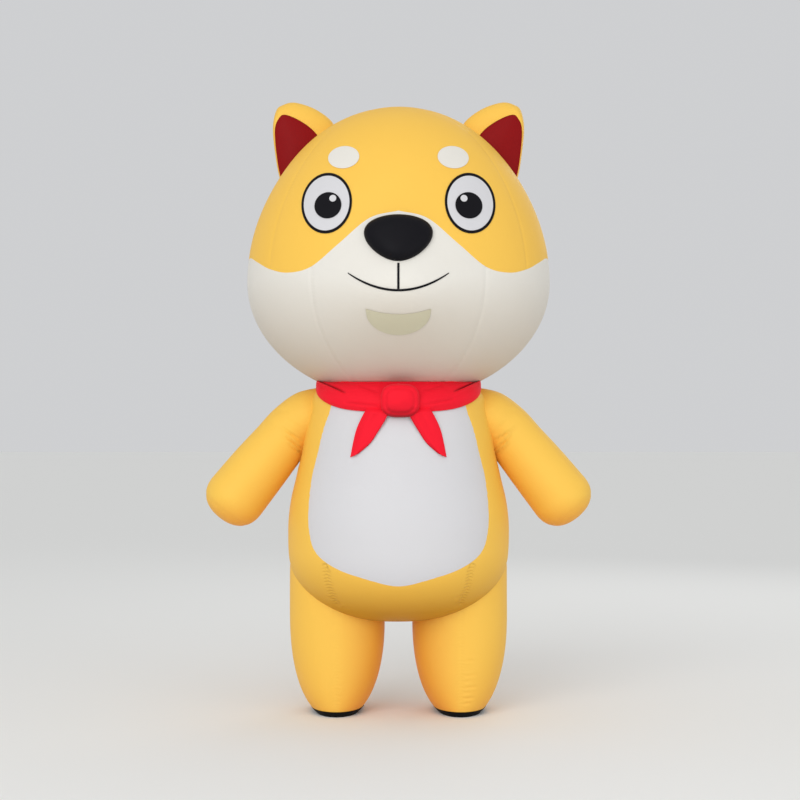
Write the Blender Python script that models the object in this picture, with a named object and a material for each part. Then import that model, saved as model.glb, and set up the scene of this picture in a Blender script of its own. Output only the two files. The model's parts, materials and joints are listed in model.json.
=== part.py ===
"""Inflated dog mascot costume: cloth walls sewn from panels, standing on its own soles."""

import math

import bmesh
import bpy
import numpy as np
from mathutils import Matrix

# Sizes are in metres. The front faces -Y, the floor is z = 0 and the costume's own left is +X.
WALL = 0.0025
SEAM_GAP = 0.0003
MIRROR_X = np.array((-1.0, 1.0, 1.0))
MERGE_DISTANCE = 1e-6
SHARP_ANGLE = 40

# Steps for the slope of a surface, the way back from a pole, and the slope of a row table.
NORMAL_STEP = 2e-4
POLE_STEPS = 50
ROW_STEP = 0.01

# The body's upright axis lies this far behind the origin, which is under the middle of the box.
AXIS_Y = 0.0401

# Head: two half ellipsoids that meet at its widest level, cut off at the neck.
HEAD_CENTER_Z = 1.829
HEAD_HALF_WIDTH = 0.646
HEAD_HALF_DEPTH = 0.58
HEAD_LIFT = 0.750
HEAD_DROP = 0.50
HEAD_SLIMNESS = 0.024
HEAD_TOP_RISE = 89.5
NECK_Z = 1.395
MUZZLE_SWELL = 0.08
MUZZLE_Z = 1.75
MUZZLE_HALF_WIDTH = 0.26
MUZZLE_HALF_HEIGHT = 0.20
GORE_STEP = 11
BACK_STEP = 12
CROWN_SEAM = 55
MUZZLE_SEAM = 33
CHEEK_SEAM = 77
BACK_SEAM = 132
CREAM_ROWS = 8
YELLOW_ROWS = 11
NAPE_ROWS = 2

# Upper edge of the cream mask: azimuth from the front in degrees, height.
MASK_EDGE = (
    (0, 2.085),
    (11, 2.055),
    (22, 1.955),
    (33, 1.865),
    (44, 1.845),
    (55, 1.865),
    (66, 1.900),
    (77, 1.925),
    (88, 1.915),
    (99, 1.860),
    (110, 1.760),
    (121, 1.630),
    (132, 1.500),
)

# Torso: a rounded bottom below the widest level, and rings above it.
TORSO_HALF_WIDTH = 0.472
TORSO_WIDE_Z = 0.771
TORSO_DROP = 0.379
TORSO_FULLNESS = 3.0
TORSO_DEPTH_RATIO = 0.932
TORSO_STEP = 10
TORSO_BOTTOM_ANGLES = (71.4, 58, 45, 32, 20, 9, 0)
TORSO_HEIGHTS = (0.87, 0.97, 1.07, 1.16, 1.24, 1.30, 1.345, 1.375, NECK_Z)
LOW_SEAM = 40
SIDE_SEAM = 100
BELLY_SPAN = 70
BELLY_FIRST_ROW = 2
BELLY_CUT_DEPTHS = (-0.7, -0.02)
LOW_PANEL_ROWS = 7
GUSSET_RUNS = (-80, -90)

# Half-widths of the torso above its widest level: height, half-width.
TORSO_RINGS = (
    (0.642, 0.460),
    (0.771, 0.472),
    (0.900, 0.460),
    (1.000, 0.437),
    (1.092, 0.418),
    (1.200, 0.405),
    (1.285, 0.386),
    (1.349, 0.368),
    (1.395, 0.321),
)

# Outline of the white belly panel, right half: x, z from its lowest point up to the neck.
BELLY_OUTLINE = (
    (0.000, 0.571),
    (0.148, 0.603),
    (0.239, 0.631),
    (0.305, 0.665),
    (0.344, 0.702),
    (0.365, 0.752),
    (0.375, 0.848),
    (0.363, 0.994),
    (0.344, 1.079),
    (0.312, 1.208),
    (0.281, 1.302),
    (0.258, 1.450),
)

# Arm: centre line and radius from inside the shoulder to where its blunt end starts.
ARM_RINGS = (
    (0.2000, 1.300, 0.085),
    (0.3000, 1.288, 0.098),
    (0.3800, 1.255, 0.118),
    (0.4570, 1.206, 0.113),
    (0.5190, 1.131, 0.118),
    (0.6030, 1.029, 0.126),
    (0.6929, 0.917, 0.132),
)
ARM_END_LENGTH = 0.117
ARM_END_FULLNESS = 2.3
ARM_END_ANGLES = (18, 36)
ARM_CAP_ANGLES = (36, 52, 68, 82, 90)
ARM_STEP = 22.5
ARM_START = 1 / 6
ARM_ROWS = 8

# Leg: an upright tube that closes in to the foot.
LEG_X = 0.261
LEG_HALF_WIDTH = 0.2034
LEG_HALF_DEPTH = 0.2136
LEG_STRAIGHT_Z = 0.42
LEG_WIDTH_DROP = 0.45
LEG_WIDTH_FULLNESS = 2.3
LEG_DEPTH_DROP = 0.52
LEG_DEPTH_FULLNESS = 4.0
LEG_HEIGHTS = (0.008, 0.022, 0.060, 0.120, 0.195, 0.290, 0.420, 0.550, 0.680)
LEG_STEP = 18
SOLE_RING_SHARE = 0.55

# Ear, right half of the costume: silhouette x, z and edge of the red panel x, z, all round.
EAR_LOOP = (
    (0.2805, 2.520, 0.335, 2.444),
    (0.3550, 2.583, 0.372, 2.492),
    (0.4476, 2.614, 0.432, 2.533),
    (0.5045, 2.601, 0.488, 2.554),
    (0.5290, 2.576, 0.513, 2.540),
    (0.5420, 2.505, 0.531, 2.492),
    (0.5330, 2.398, 0.526, 2.390),
    (0.5120, 2.284, 0.508, 2.285),
    (0.4700, 2.200, 0.470, 2.215),
    (0.3800, 2.220, 0.400, 2.250),
    (0.3000, 2.330, 0.345, 2.340),
    (0.2650, 2.430, 0.325, 2.400),
)
EAR_Y = 0.085
EAR_BACK_DEPTH = 0.07
EAR_FRONT_DEPTH = 0.06
EAR_SWELL = 0.02
EAR_SIDES = 20
EAR_BACK_FULLNESS = 0.8
EAR_SHELL_RUNS = (1, 0.5, 0, -0.35, -0.7, -1)
EAR_FRONT_SHARES = (0, 0.45, 1)

# Pieces sewn on the face: centre x, centre z, half-width, half-height.
EYE = (0.290, 2.124, 0.094, 0.1155)
EYE_RIM_WIDTH = 0.010
PUPIL = (0.283, 2.112, 0.055, 0.055)
GLINT = (0.262, 2.139, 0.014, 0.014)
BROW = (0.223, 2.318, 0.064, 0.050)
NOSE = (0.0, 1.970, 0.1325, 0.095)
NOSE_DEPTH = 0.045
NOSE_TAPER = 0.25
NOSE_DOME_POWER = 3
PATCH_THICKNESS = 0.0015
PATCH_SEAT = 0.0006
STRIP_WIDTH = 0.009
PHILTRUM_TOP = 1.868
SMILE_Z = 1.760
SMILE_LIFT = 0.072
SMILE_HALF_WIDTH = 0.20
WINDOW_HALF_WIDTH = 0.1285
WINDOW_TOP = 1.668
WINDOW_TOP_LIFT = 0.022
WINDOW_BOTTOM = 1.589
WINDOW_END_HEIGHT = 0.008
WINDOW_SEAT = 0.0016

# Face pieces: rings as shares of their size, rim first, and the number of points round them.
EYE_RINGS = (1, 0.75, 0.5, 0.25, 0)
EYE_SIDES = 18
PUPIL_RINGS = (1, 0.5, 0)
PUPIL_SIDES = 14
GLINT_RINGS = (1, 0)
GLINT_SIDES = 8
BROW_RINGS = (1, 0.66, 0.33, 0)
BROW_SIDES = 16
NOSE_RINGS = (1, 0.94, 0.8, 0.5, 0)
NOSE_SIDES = 20
PHILTRUM_STEPS = 3
SMILE_STEPS = 16
WINDOW_STEPS = 10
WINDOW_ROWS = 3

# Neckerchief: a band round the neck, a knot and two tails.
SCARF_WALL = 0.003
SCARF_TOP = 1.390
SCARF_FRONT_LOW = 1.279
SCARF_SIDE_RISE = 0.098
SCARF_BULGE = 0.016
SCARF_SEAT = 0.0022
SCARF_SIDE_POWER = 4
SCARF_ARCH_FULLNESS = 0.7
SCARF_SIDE_SWELL = 1.6
SCARF_SHARES = (1, 0.85, 0.5, 0.15, 0)
KNOT = (0.007, 1.3255, 0.079, 0.0685)
KNOT_DEPTH = 0.050
KNOT_SEAT_Y = -0.3728
KNOT_GROOVE = 0.007
KNOT_GROOVE_SHARE = 0.62
KNOT_GROOVE_WIDTH = 0.06
KNOT_SQUARENESS = 0.6
KNOT_RINGS = (1.0, 0.97, 0.86, 0.70, 0.62, 0.54, 0.30, 0.0)
KNOT_SIDES = 20
KNOT_CORE_REACH = 0.03

# Tails: share of their length, outer edge x, z and inner edge x, z on the costume's left.
TAIL_ROWS = (
    (0.00, 0.1280, 1.296, 0.0340, 1.288),
    (0.25, 0.1480, 1.262, 0.0520, 1.250),
    (0.55, 0.1730, 1.206, 0.0830, 1.199),
    (0.80, 0.1870, 1.149, 0.1180, 1.148),
    (1.00, 0.1975, 1.094, 0.1620, 1.109),
)
TAIL_REST = 0.0045
TAIL_PUFF = 0.010
TAIL_TOP_LIFT = 0.018
TAIL_COLUMNS = 4
TAIL_STEPS = 6

# Centre back zip: the tape lies under the cloth and its closed coil fills the slot.
ZIP_SLOT_HALF = 0.005
ZIP_CUT_DEPTHS = (0.2, 0.6)
ZIP_FIRST_ROW = 4
ZIP_LAST_ROW = 11
ZIP_TAPE_HALF = 0.014
ZIP_TAPE_THICKNESS = 0.0012
ZIP_COIL_HALF = 0.0035
ZIP_COIL_PROUD = 0.001
SLIDER_Z = 1.205
SLIDER_SINK = 0.00105
SLIDER_PLATE = (0.013, 0.018, 0.003)
SLIDER_CHEEK = (0.0015, 0.007, 0.0100)
SLIDER_BAR_RADIUS = 0.0011
SLIDER_BAR_HEIGHT = 0.0085
PULL_PLATE = (0.009, 0.0016, 0.034)
PULL_EYE_RADIUS = 0.0026
PULL_BORE_RADIUS = 0.0015
PULL_HOLE_RADIUS = 0.0022
PULL_HOLE_DEPTH = 0.01
PULL_EYE_GAP = 0.0005
ROD_SIDES = 16

# Colour (linear red, green, blue), roughness and metallic share of each cloth or part.
LOOKS = {
    "yellow": ((0.91, 0.53, 0.09), 0.42, 0.0),
    "cream": ((0.72, 0.66, 0.57), 0.45, 0.0),
    "white": ((0.78, 0.76, 0.76), 0.42, 0.0),
    "red": ((0.95, 0.035, 0.05), 0.55, 0.0),
    "dark_red": ((0.27, 0.005, 0.007), 0.50, 0.0),
    "black": ((0.010, 0.009, 0.011), 0.40, 0.0),
    "mesh": ((0.45, 0.38, 0.24), 0.80, 0.0),
    "metal": ((0.60, 0.60, 0.60), 0.30, 1.0),
}


def smooth_row(rows, at):
    """Values at a place on the smooth curve through rows of (place, values...)."""
    table = np.array(rows, float)
    places = table[:, 0]
    slopes = np.gradient(table[:, 1:], places, axis=0)
    at = min(max(at, places[0]), places[-1])
    span = min(int(np.searchsorted(places, at, side="right")) - 1, len(rows) - 2)
    step = places[span + 1] - places[span]
    share = (at - places[span]) / step
    rest = 1.0 - share
    start = table[span, 1:]
    end = table[span + 1, 1:]
    return (
        (1 + 2 * share) * rest**2 * start
        + share * rest**2 * step * slopes[span]
        + share**2 * (3 - 2 * share) * end
        - share**2 * rest * step * slopes[span + 1]
    )


def loop_row(rows, turn):
    """Values at a share of a turn on the smooth closed curve through the rows."""
    count = len(rows)
    padded = [(place, *rows[place % count]) for place in range(-2, count + 3)]
    return smooth_row(padded, (turn % 1.0) * count)


def make_material(name):
    colour, roughness, metallic = LOOKS[name]
    material = bpy.data.materials.new(name)
    material.use_nodes = True
    shader = material.node_tree.nodes["Principled BSDF"]
    shader.inputs["Base Color"].default_value = (*colour, 1.0)
    shader.inputs["Roughness"].default_value = roughness
    shader.inputs["Metallic"].default_value = metallic
    return material


def add_object(name, mesh, collection, look=None):
    """Put a mesh in a collection as a smooth-shaded object, or as a wire cutter without a look."""
    thing = bpy.data.objects.new(name, mesh)
    collection.objects.link(thing)
    if look:
        mesh.materials.append(make_material(look))
        mesh.materials[0].name = f"{name}_{look}"
        mesh.shade_smooth()
        mesh.set_sharp_from_angle(angle=math.radians(SHARP_ANGLE))
    else:
        thing.hide_render = True
        thing.display_type = "WIRE"
    return thing


def mesh_from(build, name):
    """Run a function on a new bmesh and return the closed mesh with its faces pointing out."""
    work = bmesh.new()
    build(work)
    bmesh.ops.remove_doubles(work, verts=work.verts, dist=MERGE_DISTANCE)
    bmesh.ops.recalc_face_normals(work, faces=work.faces)
    mesh = bpy.data.meshes.new(name)
    work.to_mesh(mesh)
    work.free()
    return mesh


def add_quads(work, lower, upper, wraps):
    """Join two equal rows with pairs of triangles, split alike on both sides of the costume."""
    count = len(lower)
    for here in range(count if wraps else count - 1):
        there = (here + 1) % count
        corners = (lower[here], lower[there], upper[there], upper[here])
        feet = [min(pair, key=lambda vert: vert.co.z) for pair in (corners[::2], corners[1::2])]
        if abs(feet[0].co.x) > abs(feet[1].co.x):
            corners = corners[1:] + corners[:1]
        work.faces.new(corners[:3])
        work.faces.new((corners[2], corners[3], corners[0]))


def normal_at(surface, u, v):
    """Outward normal of a surface whose two parameters are in degrees or shares."""
    step = NORMAL_STEP
    across = surface(u + step, v) - surface(u - step, v)
    along = surface(u, v + step) - surface(u, v - step)
    normal = np.cross(across, along)
    length = np.linalg.norm(normal)
    if length < 1e-16:
        nudge = POLE_STEPS * step if v <= 0 else -POLE_STEPS * step
        return normal_at(surface, u, v + nudge)
    return normal / length


def draw_in(points, wraps, closed_end):
    """Move the borders of a grid half a seam gap inwards, along its own rows and columns."""
    moved = points.copy()
    reach = SEAM_GAP / 2

    def towards(border, inner):
        way = inner - border
        return way / np.maximum(np.linalg.norm(way, axis=-1, keepdims=True), 1e-9) * reach

    if not wraps:
        moved[:, 0] += towards(points[:, 0], points[:, 1])
        moved[:, -1] += towards(points[:, -1], points[:, -2])
    moved[0] += towards(points[0], points[1])
    if not closed_end:
        moved[-1] += towards(points[-1], points[-2])
    return moved


def add_fan(work, ring, tip, wraps):
    """Join a row of vertices to one tip with triangles."""
    count = len(ring)
    for here in range(count if wraps else count - 1):
        work.faces.new((ring[here], ring[(here + 1) % count], tip))


def wall_mesh(name, outer, inner, wraps=False, closed_end=False):
    """Wall mesh from two grids; a closed end has its last row at one point."""

    def build(work):
        skins = []
        for grid in (outer, inner):
            rows = [[work.verts.new(point) for point in row] for row in grid]
            if closed_end:
                for spare in rows[-1][1:]:
                    work.verts.remove(spare)
                rows[-1] = rows[-1][:1]
            skins.append(rows)
        for rows in skins:
            for lower, upper in zip(rows[:-1], rows[1:]):
                if len(upper) == 1:
                    add_fan(work, lower, upper[0], wraps)
                else:
                    add_quads(work, lower, upper, wraps)
        add_quads(work, skins[0][0], skins[1][0], wraps)
        if not closed_end:
            add_quads(work, skins[0][-1], skins[1][-1], wraps)
        if not wraps:
            for side in (0, -1):
                edges = [[row[side] for row in rows] for rows in skins]
                add_quads(work, edges[0], edges[1], False)

    return mesh_from(build, name)


def grid_of(surface, places, lift=0.0):
    """Points of a surface at a grid of parameter pairs, moved out along its normals."""
    return np.array(
        [[surface(u, v) + lift * normal_at(surface, u, v) for u, v in row] for row in places]
    )


def add_panel(name, surface, places, look, collection, side=1, wraps=False, closed_end=False):
    """Cloth panel whose outer face follows a surface, on the left (1) or mirrored to the right."""
    outer = draw_in(grid_of(surface, places), wraps, closed_end)
    inner = draw_in(grid_of(surface, places, -WALL), wraps, closed_end)
    if side < 0:
        outer = outer * MIRROR_X
        inner = inner * MIRROR_X
    mesh = wall_mesh(name, outer, inner, wraps, closed_end)
    return add_object(name, mesh, collection, look)


def add_core(name, surface, places, lift, collection, side=1):
    """Solid of a surface that wraps round, grown or shrunk, to cut what it meets."""
    points = grid_of(surface, places, lift)
    if side < 0:
        points = points * MIRROR_X

    def build(work):
        rows = [[work.verts.new(point) for point in row] for row in points]
        for lower, upper in zip(rows[:-1], rows[1:]):
            add_quads(work, lower, upper, True)
        for ring in (rows[0], rows[-1]):
            if (ring[0].co - ring[len(ring) // 2].co).length > 1e-5:
                work.faces.new(ring)

    return add_object(name, mesh_from(build, name), collection)


def add_prism(name, outline, depths, collection):
    """Solid with an upright outline of (x, z) points, between two depths."""

    def build(work):
        near, far = ([work.verts.new((x, y, z)) for x, z in outline] for y in depths)
        add_quads(work, near, far, True)
        work.faces.new(near)
        work.faces.new(far)

    return add_object(name, mesh_from(build, name), collection)


def cut(thing, cutter, operation="DIFFERENCE"):
    """Cut a piece with a cutter, or keep only what lies inside it."""
    modifier = thing.modifiers.new(f"{operation.lower()}_{cutter.name}", "BOOLEAN")
    modifier.operation = operation
    modifier.object = cutter
    modifier.solver = "EXACT"


def span(low, high, count):
    return np.linspace(low, high, count + 1)


def steps(low, high, step):
    return span(low, high, max(round((high - low) / step), 1))


def places_between(columns, low, high, rows):
    """Parameter pairs in equal rows from a lower to an upper limit, each a function of the column."""
    return [
        [(column, low(column) + share * (high(column) - low(column))) for column in columns]
        for share in span(0, 1, rows)
    ]


def places_at(columns, heights):
    """Parameter pairs at the same heights for every column."""
    return [[(column, height) for column in columns] for height in heights]


def head_ring(rise):
    """Share of the head's full width at a rise; the crown is a little leaner than an ellipsoid."""
    angle = math.radians(max(rise, 0.0))
    return math.cos(math.radians(rise)) * (1 - HEAD_SLIMNESS * math.sin(2 * angle) ** 2)


def head_point(azimuth, rise):
    """Point of the head at an azimuth from the front and a rise from its widest level, degrees."""
    turn = math.radians(azimuth)
    angle = math.radians(rise)
    ring = head_ring(rise)
    lift = HEAD_LIFT if rise > 0 else HEAD_DROP
    x = HEAD_HALF_WIDTH * ring * math.sin(turn)
    z = HEAD_CENTER_Z + lift * math.sin(angle)
    front = max(math.cos(turn), 0.0)
    across = x / MUZZLE_HALF_WIDTH
    along = (z - MUZZLE_Z) / MUZZLE_HALF_HEIGHT
    swell = MUZZLE_SWELL * front**2 * math.exp(-(across**2) - along**2)
    return np.array((x, -HEAD_HALF_DEPTH * ring * math.cos(turn) - swell, z))


def head_rise(height):
    """Rise, in degrees, of a height on the head."""
    lift = HEAD_LIFT if height > HEAD_CENTER_Z else HEAD_DROP
    return math.degrees(math.asin((height - HEAD_CENTER_Z) / lift))


def face_point(x, z):
    """Point of the head's front at a place of the front view."""
    rise = head_rise(z)
    return head_point(math.degrees(math.asin(x / (HEAD_HALF_WIDTH * head_ring(rise)))), rise)


def mask_rise(azimuth):
    """Rise of the cream mask's upper edge."""
    return head_rise(float(smooth_row(MASK_EDGE, abs(azimuth))[0]))


def neck_rise(azimuth):
    return head_rise(NECK_Z)


def top_rise(azimuth):
    return HEAD_TOP_RISE


def head_column(azimuth):
    """Rises of the head panels' rows at an azimuth, from the neck to the top."""
    edge = mask_rise(min(abs(azimuth), BACK_SEAM))
    yellow = span(edge, HEAD_TOP_RISE, YELLOW_ROWS)[1:]
    return [*span(neck_rise(0), edge, CREAM_ROWS), *yellow, 90]


def head_core_places():
    """Parameter pairs of the whole head, at the same places as its panels."""
    half = [*steps(0, BACK_SEAM, GORE_STEP), *steps(BACK_SEAM, 180, BACK_STEP)[1:]]
    azimuths = [*half, *(-azimuth for azimuth in half[-2:0:-1])]
    columns = [[(azimuth, rise) for rise in head_column(azimuth)] for azimuth in azimuths]
    return [list(row) for row in zip(*columns)]


def torso_ring(run):
    """Half-width and height of the torso at a run of degrees below its widest level, metres above."""
    if run <= 0:
        angle = math.radians(-run)
        share = 2 / TORSO_FULLNESS
        width = TORSO_HALF_WIDTH * abs(math.cos(angle)) ** share
        return width, TORSO_WIDE_Z - TORSO_DROP * math.sin(angle) ** share
    height = TORSO_WIDE_Z + run
    return float(smooth_row(TORSO_RINGS, height)[0]), height


def torso_runs():
    """Runs of the torso's rows, from the gusset's edge up to the neck."""
    rises = [height - TORSO_WIDE_Z for height in TORSO_HEIGHTS]
    return [*(-angle for angle in TORSO_BOTTOM_ANGLES), *rises]


def torso_point(azimuth, run):
    turn = math.radians(azimuth)
    width, height = torso_ring(run)
    return np.array(
        (width * math.sin(turn), -TORSO_DEPTH_RATIO * width * math.cos(turn), height)
    )


def torso_front(x, z):
    """Point of the torso's front at a place of the front view, above its widest level."""
    run = z - TORSO_WIDE_Z
    width = torso_ring(run)[0]
    return torso_point(math.degrees(math.asin(x / width)), run)


def arm_point(turn, run):
    """Point of the left arm: run is 0 to 1 along its rings, then 1 plus degrees/90 over its end."""
    angle = math.radians(turn)
    count = len(ARM_RINGS) - 1
    rings = [(place, *row) for place, row in enumerate(ARM_RINGS)]
    place = min(run, 1.0) * count
    x, z, radius = smooth_row(rings, place)
    before = smooth_row(rings, min(place, count) - ROW_STEP)
    ahead = smooth_row(rings, min(place + ROW_STEP, count)) - before
    way = ahead[:2] / np.linalg.norm(ahead[:2])
    if run > 1:
        tilt = (run - 1) * math.pi / 2
        share = 2 / ARM_END_FULLNESS
        forward = ARM_END_LENGTH * math.sin(min(tilt, math.pi / 2)) ** share
        x += way[0] * forward
        z += way[1] * forward
        radius *= abs(math.cos(tilt)) ** share
    outwards = np.array((-way[1], 0.0, way[0]))
    return (
        np.array((x, 0.0, z))
        + radius * math.cos(angle) * outwards
        - radius * math.sin(angle) * np.array((0.0, 1.0, 0.0))
    )


def leg_point(azimuth, height):
    """Point of the left leg; its section closes in below the straight part."""
    turn = math.radians(azimuth)
    narrow = max((LEG_STRAIGHT_Z - height) / LEG_WIDTH_DROP, 0.0)
    shallow = max((LEG_STRAIGHT_Z - height) / LEG_DEPTH_DROP, 0.0)
    half_width = LEG_HALF_WIDTH * (1 - narrow**LEG_WIDTH_FULLNESS) ** (1 / LEG_WIDTH_FULLNESS)
    half_depth = LEG_HALF_DEPTH * (1 - shallow**LEG_DEPTH_FULLNESS) ** (1 / LEG_DEPTH_FULLNESS)
    return np.array(
        (LEG_X + half_width * math.sin(turn), -half_depth * math.cos(turn), height)
    )


def ear_point(turn, run):
    """Point of the left ear's yellow shell: run is -1 at its back, 0 at its silhouette, 1 at the panel."""
    loop = loop_row(EAR_LOOP, turn)
    middle = np.mean(np.array(EAR_LOOP), axis=0)
    angle = abs(run) * math.pi / 2
    if run < 0:
        x, z = middle[:2] + (loop[:2] - middle[:2]) * abs(math.cos(angle)) ** EAR_BACK_FULLNESS
        return np.array((x, EAR_Y + EAR_BACK_DEPTH * math.sin(angle), z))
    x, z = loop[2:] + (loop[:2] - loop[2:]) * math.cos(angle)
    return np.array((x, EAR_Y - EAR_FRONT_DEPTH * math.sin(angle), z))


def ear_front_point(turn, share):
    """Point of the left ear's red panel, from its edge (0) to its middle (1)."""
    loop = loop_row(EAR_LOOP, turn)
    middle = np.mean(np.array(EAR_LOOP), axis=0)
    x, z = middle[2:] + (loop[2:] - middle[2:]) * (1 - share)
    swell = EAR_SWELL * (1 - (1 - share) ** 2)
    return np.array((x, EAR_Y - EAR_FRONT_DEPTH - swell, z))


def build_head(parts):
    gore = [
        ("head_crown_front", 0, steps(-CROWN_SEAM, CROWN_SEAM, GORE_STEP)),
        ("head_side", 1, steps(CROWN_SEAM, BACK_SEAM, GORE_STEP)),
    ]
    for name, sides, columns in gore:
        places = places_between(columns, mask_rise, top_rise, YELLOW_ROWS)
        for side, label in ((1, "_L"), (-1, "_R")) if sides else ((1, ""),):
            add_panel(name + label, head_point, places, "yellow", parts, side)
    cream = [
        ("head_muzzle", 0, steps(-MUZZLE_SEAM, MUZZLE_SEAM, GORE_STEP)),
        ("head_cheek", 1, steps(MUZZLE_SEAM, CHEEK_SEAM, GORE_STEP)),
        ("head_side_low", 1, steps(CHEEK_SEAM, BACK_SEAM, GORE_STEP)),
    ]
    for name, sides, columns in cream:
        places = places_between(columns, neck_rise, mask_rise, CREAM_ROWS)
        for side, label in ((1, "_L"), (-1, "_R")) if sides else ((1, ""),):
            add_panel(name + label, head_point, places, "cream", parts, side)
    columns = steps(BACK_SEAM, 180, BACK_STEP)
    corner = mask_rise(BACK_SEAM)
    nape = span(neck_rise(0), corner, NAPE_ROWS)
    rises = [*nape, *span(corner, HEAD_TOP_RISE, YELLOW_ROWS)[1:]]
    for side, label in ((1, "_L"), (-1, "_R")):
        add_panel(f"head_back{label}", head_point, places_at(columns, rises), "yellow", parts, side)


def patch_grids(centre, shares, sides, lift, thickness, dome=0.0, taper=0.0):
    """Outer and inner grids of a round patch on the face, from its rim towards its middle."""
    x0, z0, half_width, half_height = centre

    def point(turn, share, offset, shrink):
        angle = math.radians(turn)
        wide = (half_width - shrink) * (1 + taper * math.sin(angle))
        x = x0 + wide * share * math.cos(angle)
        z = z0 + (half_height - shrink) * share * math.sin(angle)
        swell = dome * math.sqrt(max(1 - share**NOSE_DOME_POWER, 0.0))
        return face_point(x, z) + (offset + swell) * normal_at(face_point, x, z)

    turns = np.linspace(0, 360, sides, endpoint=False)
    shrink = thickness if dome else 0.0
    outer = [[point(turn, share, lift + thickness, 0.0) for turn in turns] for share in shares]
    inner = [[point(turn, share, lift, shrink) for turn in turns] for share in shares]
    return np.array(outer), np.array(inner)


def add_patch(name, centre, shares, sides, lift, look, parts, side=1, dome=0.0, taper=0.0):
    thickness = WALL if dome else PATCH_THICKNESS
    closed_end = shares[-1] == 0
    outer, inner = patch_grids(centre, shares, sides, lift, thickness, dome, taper)
    if side < 0:
        outer = outer * MIRROR_X
        inner = inner * MIRROR_X
    mesh = wall_mesh(name, outer, inner, True, closed_end)
    add_object(name, mesh, parts, look)


def add_strip(name, edges, look, parts, seat=PATCH_SEAT):
    """Flat strip on the face between two edges, each a list of (x, z) points."""
    grids = []
    for offset in (seat + PATCH_THICKNESS, seat):
        grid = [
            [face_point(x, z) + offset * normal_at(face_point, x, z) for x, z in edge]
            for edge in edges
        ]
        grids.append(np.array(grid))
    add_object(name, wall_mesh(name, *grids), parts, look)


def build_face(parts):
    on_eye = 2 * PATCH_SEAT + PATCH_THICKNESS
    on_pupil = 3 * PATCH_SEAT + 2 * PATCH_THICKNESS
    rim_share = 1 + EYE_RIM_WIDTH / EYE[2]
    inner_share = 1 + SEAM_GAP / EYE[2]
    for side, label in ((1, "_L"), (-1, "_R")):
        for name, centre, rings, sides, lift, look in (
            ("eye_white", EYE, EYE_RINGS, EYE_SIDES, PATCH_SEAT, "white"),
            ("eye_rim", EYE, (rim_share, inner_share), EYE_SIDES, PATCH_SEAT, "black"),
            ("pupil", PUPIL, PUPIL_RINGS, PUPIL_SIDES, on_eye, "black"),
            ("brow", BROW, BROW_RINGS, BROW_SIDES, PATCH_SEAT, "cream"),
            ("glint", GLINT, GLINT_RINGS, GLINT_SIDES, on_pupil, "white"),
        ):
            add_patch(name + label, centre, rings, sides, lift, look, parts, side)
    add_patch(
        "nose", NOSE, NOSE_RINGS, NOSE_SIDES, PATCH_SEAT, "black", parts,
        dome=NOSE_DEPTH, taper=NOSE_TAPER,
    )
    half = STRIP_WIDTH / 2
    smile_top = SMILE_Z + half
    heights = span(smile_top + SEAM_GAP * 2, PHILTRUM_TOP, PHILTRUM_STEPS)
    add_strip("philtrum", [[(x, z) for z in heights] for x in (-half, half)], "black", parts)
    shares = span(-1, 1, SMILE_STEPS)
    line = [(s * SMILE_HALF_WIDTH, SMILE_Z + SMILE_LIFT * s * s) for s in shares]
    edges = [[(x, z + shift) for x, z in line] for shift in (-half, half)]
    add_strip("smile", edges, "black", parts)
    window_top = [
        (s * WINDOW_HALF_WIDTH, WINDOW_TOP + WINDOW_TOP_LIFT * s * s)
        for s in span(-1, 1, WINDOW_STEPS)
    ]
    ends = WINDOW_TOP + WINDOW_TOP_LIFT - WINDOW_END_HEIGHT
    window_low = [
        (x, ends - (ends - WINDOW_BOTTOM) * math.sqrt(max(1 - (x / WINDOW_HALF_WIDTH) ** 2, 0)))
        for x, _ in window_top
    ]
    rows = [
        [(x, low + share * (high - low)) for (x, low), (_, high) in zip(window_low, window_top)]
        for share in span(0, 1, WINDOW_ROWS)
    ]
    add_strip("vision_window", rows, "mesh", parts, WINDOW_SEAT)


def build_ears(parts, head_core):
    turns = np.linspace(0, 1, EAR_SIDES, endpoint=False)
    shell = places_at(turns, EAR_SHELL_RUNS)
    front = places_at(turns, EAR_FRONT_SHARES)
    for side, label in ((1, "_L"), (-1, "_R")):
        for name, surface, places, look in (
            ("ear_back", ear_point, shell, "yellow"),
            ("ear_front", ear_front_point, front, "dark_red"),
        ):
            add_ear_piece(name + label, surface, places, look, parts, side, head_core)


def add_ear_piece(name, surface, places, look, parts, side, head_core):
    """Ear wall; its inner face lies towards the middle of the ear."""
    middle = np.mean(np.array(EAR_LOOP), axis=0)
    heart = np.array((middle[0], EAR_Y, middle[1]))
    outer = grid_of(surface, places)
    shift = grid_of(surface, places, WALL) - outer
    away = np.sum(shift * (outer - heart), axis=-1, keepdims=True)
    inner = outer - shift * np.where(away < 0, -1.0, 1.0)
    grids = [draw_in(grid, True, True) for grid in (outer, inner)]
    if side < 0:
        grids = [grid * MIRROR_X for grid in grids]
    piece = add_object(name, wall_mesh(name, *grids, True, True), parts, look)
    cut(piece, head_core)


def belly_outline(grow):
    """Whole outline of the belly panel, moved outwards."""
    rows = [(place, *row) for place, row in enumerate(BELLY_OUTLINE)]
    mirrored = [(-place, -x, z) for place, x, z in rows[1:]]
    rows = mirrored[::-1] + rows
    last = len(BELLY_OUTLINE) - 1
    outline = []
    for place in span(-last, last, 4 * last):
        x, z = smooth_row(rows, place)
        ahead = smooth_row(rows, place + ROW_STEP) - smooth_row(rows, place - ROW_STEP)
        away = np.array((ahead[1], -ahead[0])) / np.linalg.norm(ahead)
        outline.append((x + grow * away[0], z + grow * away[1]))
    return outline


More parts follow.
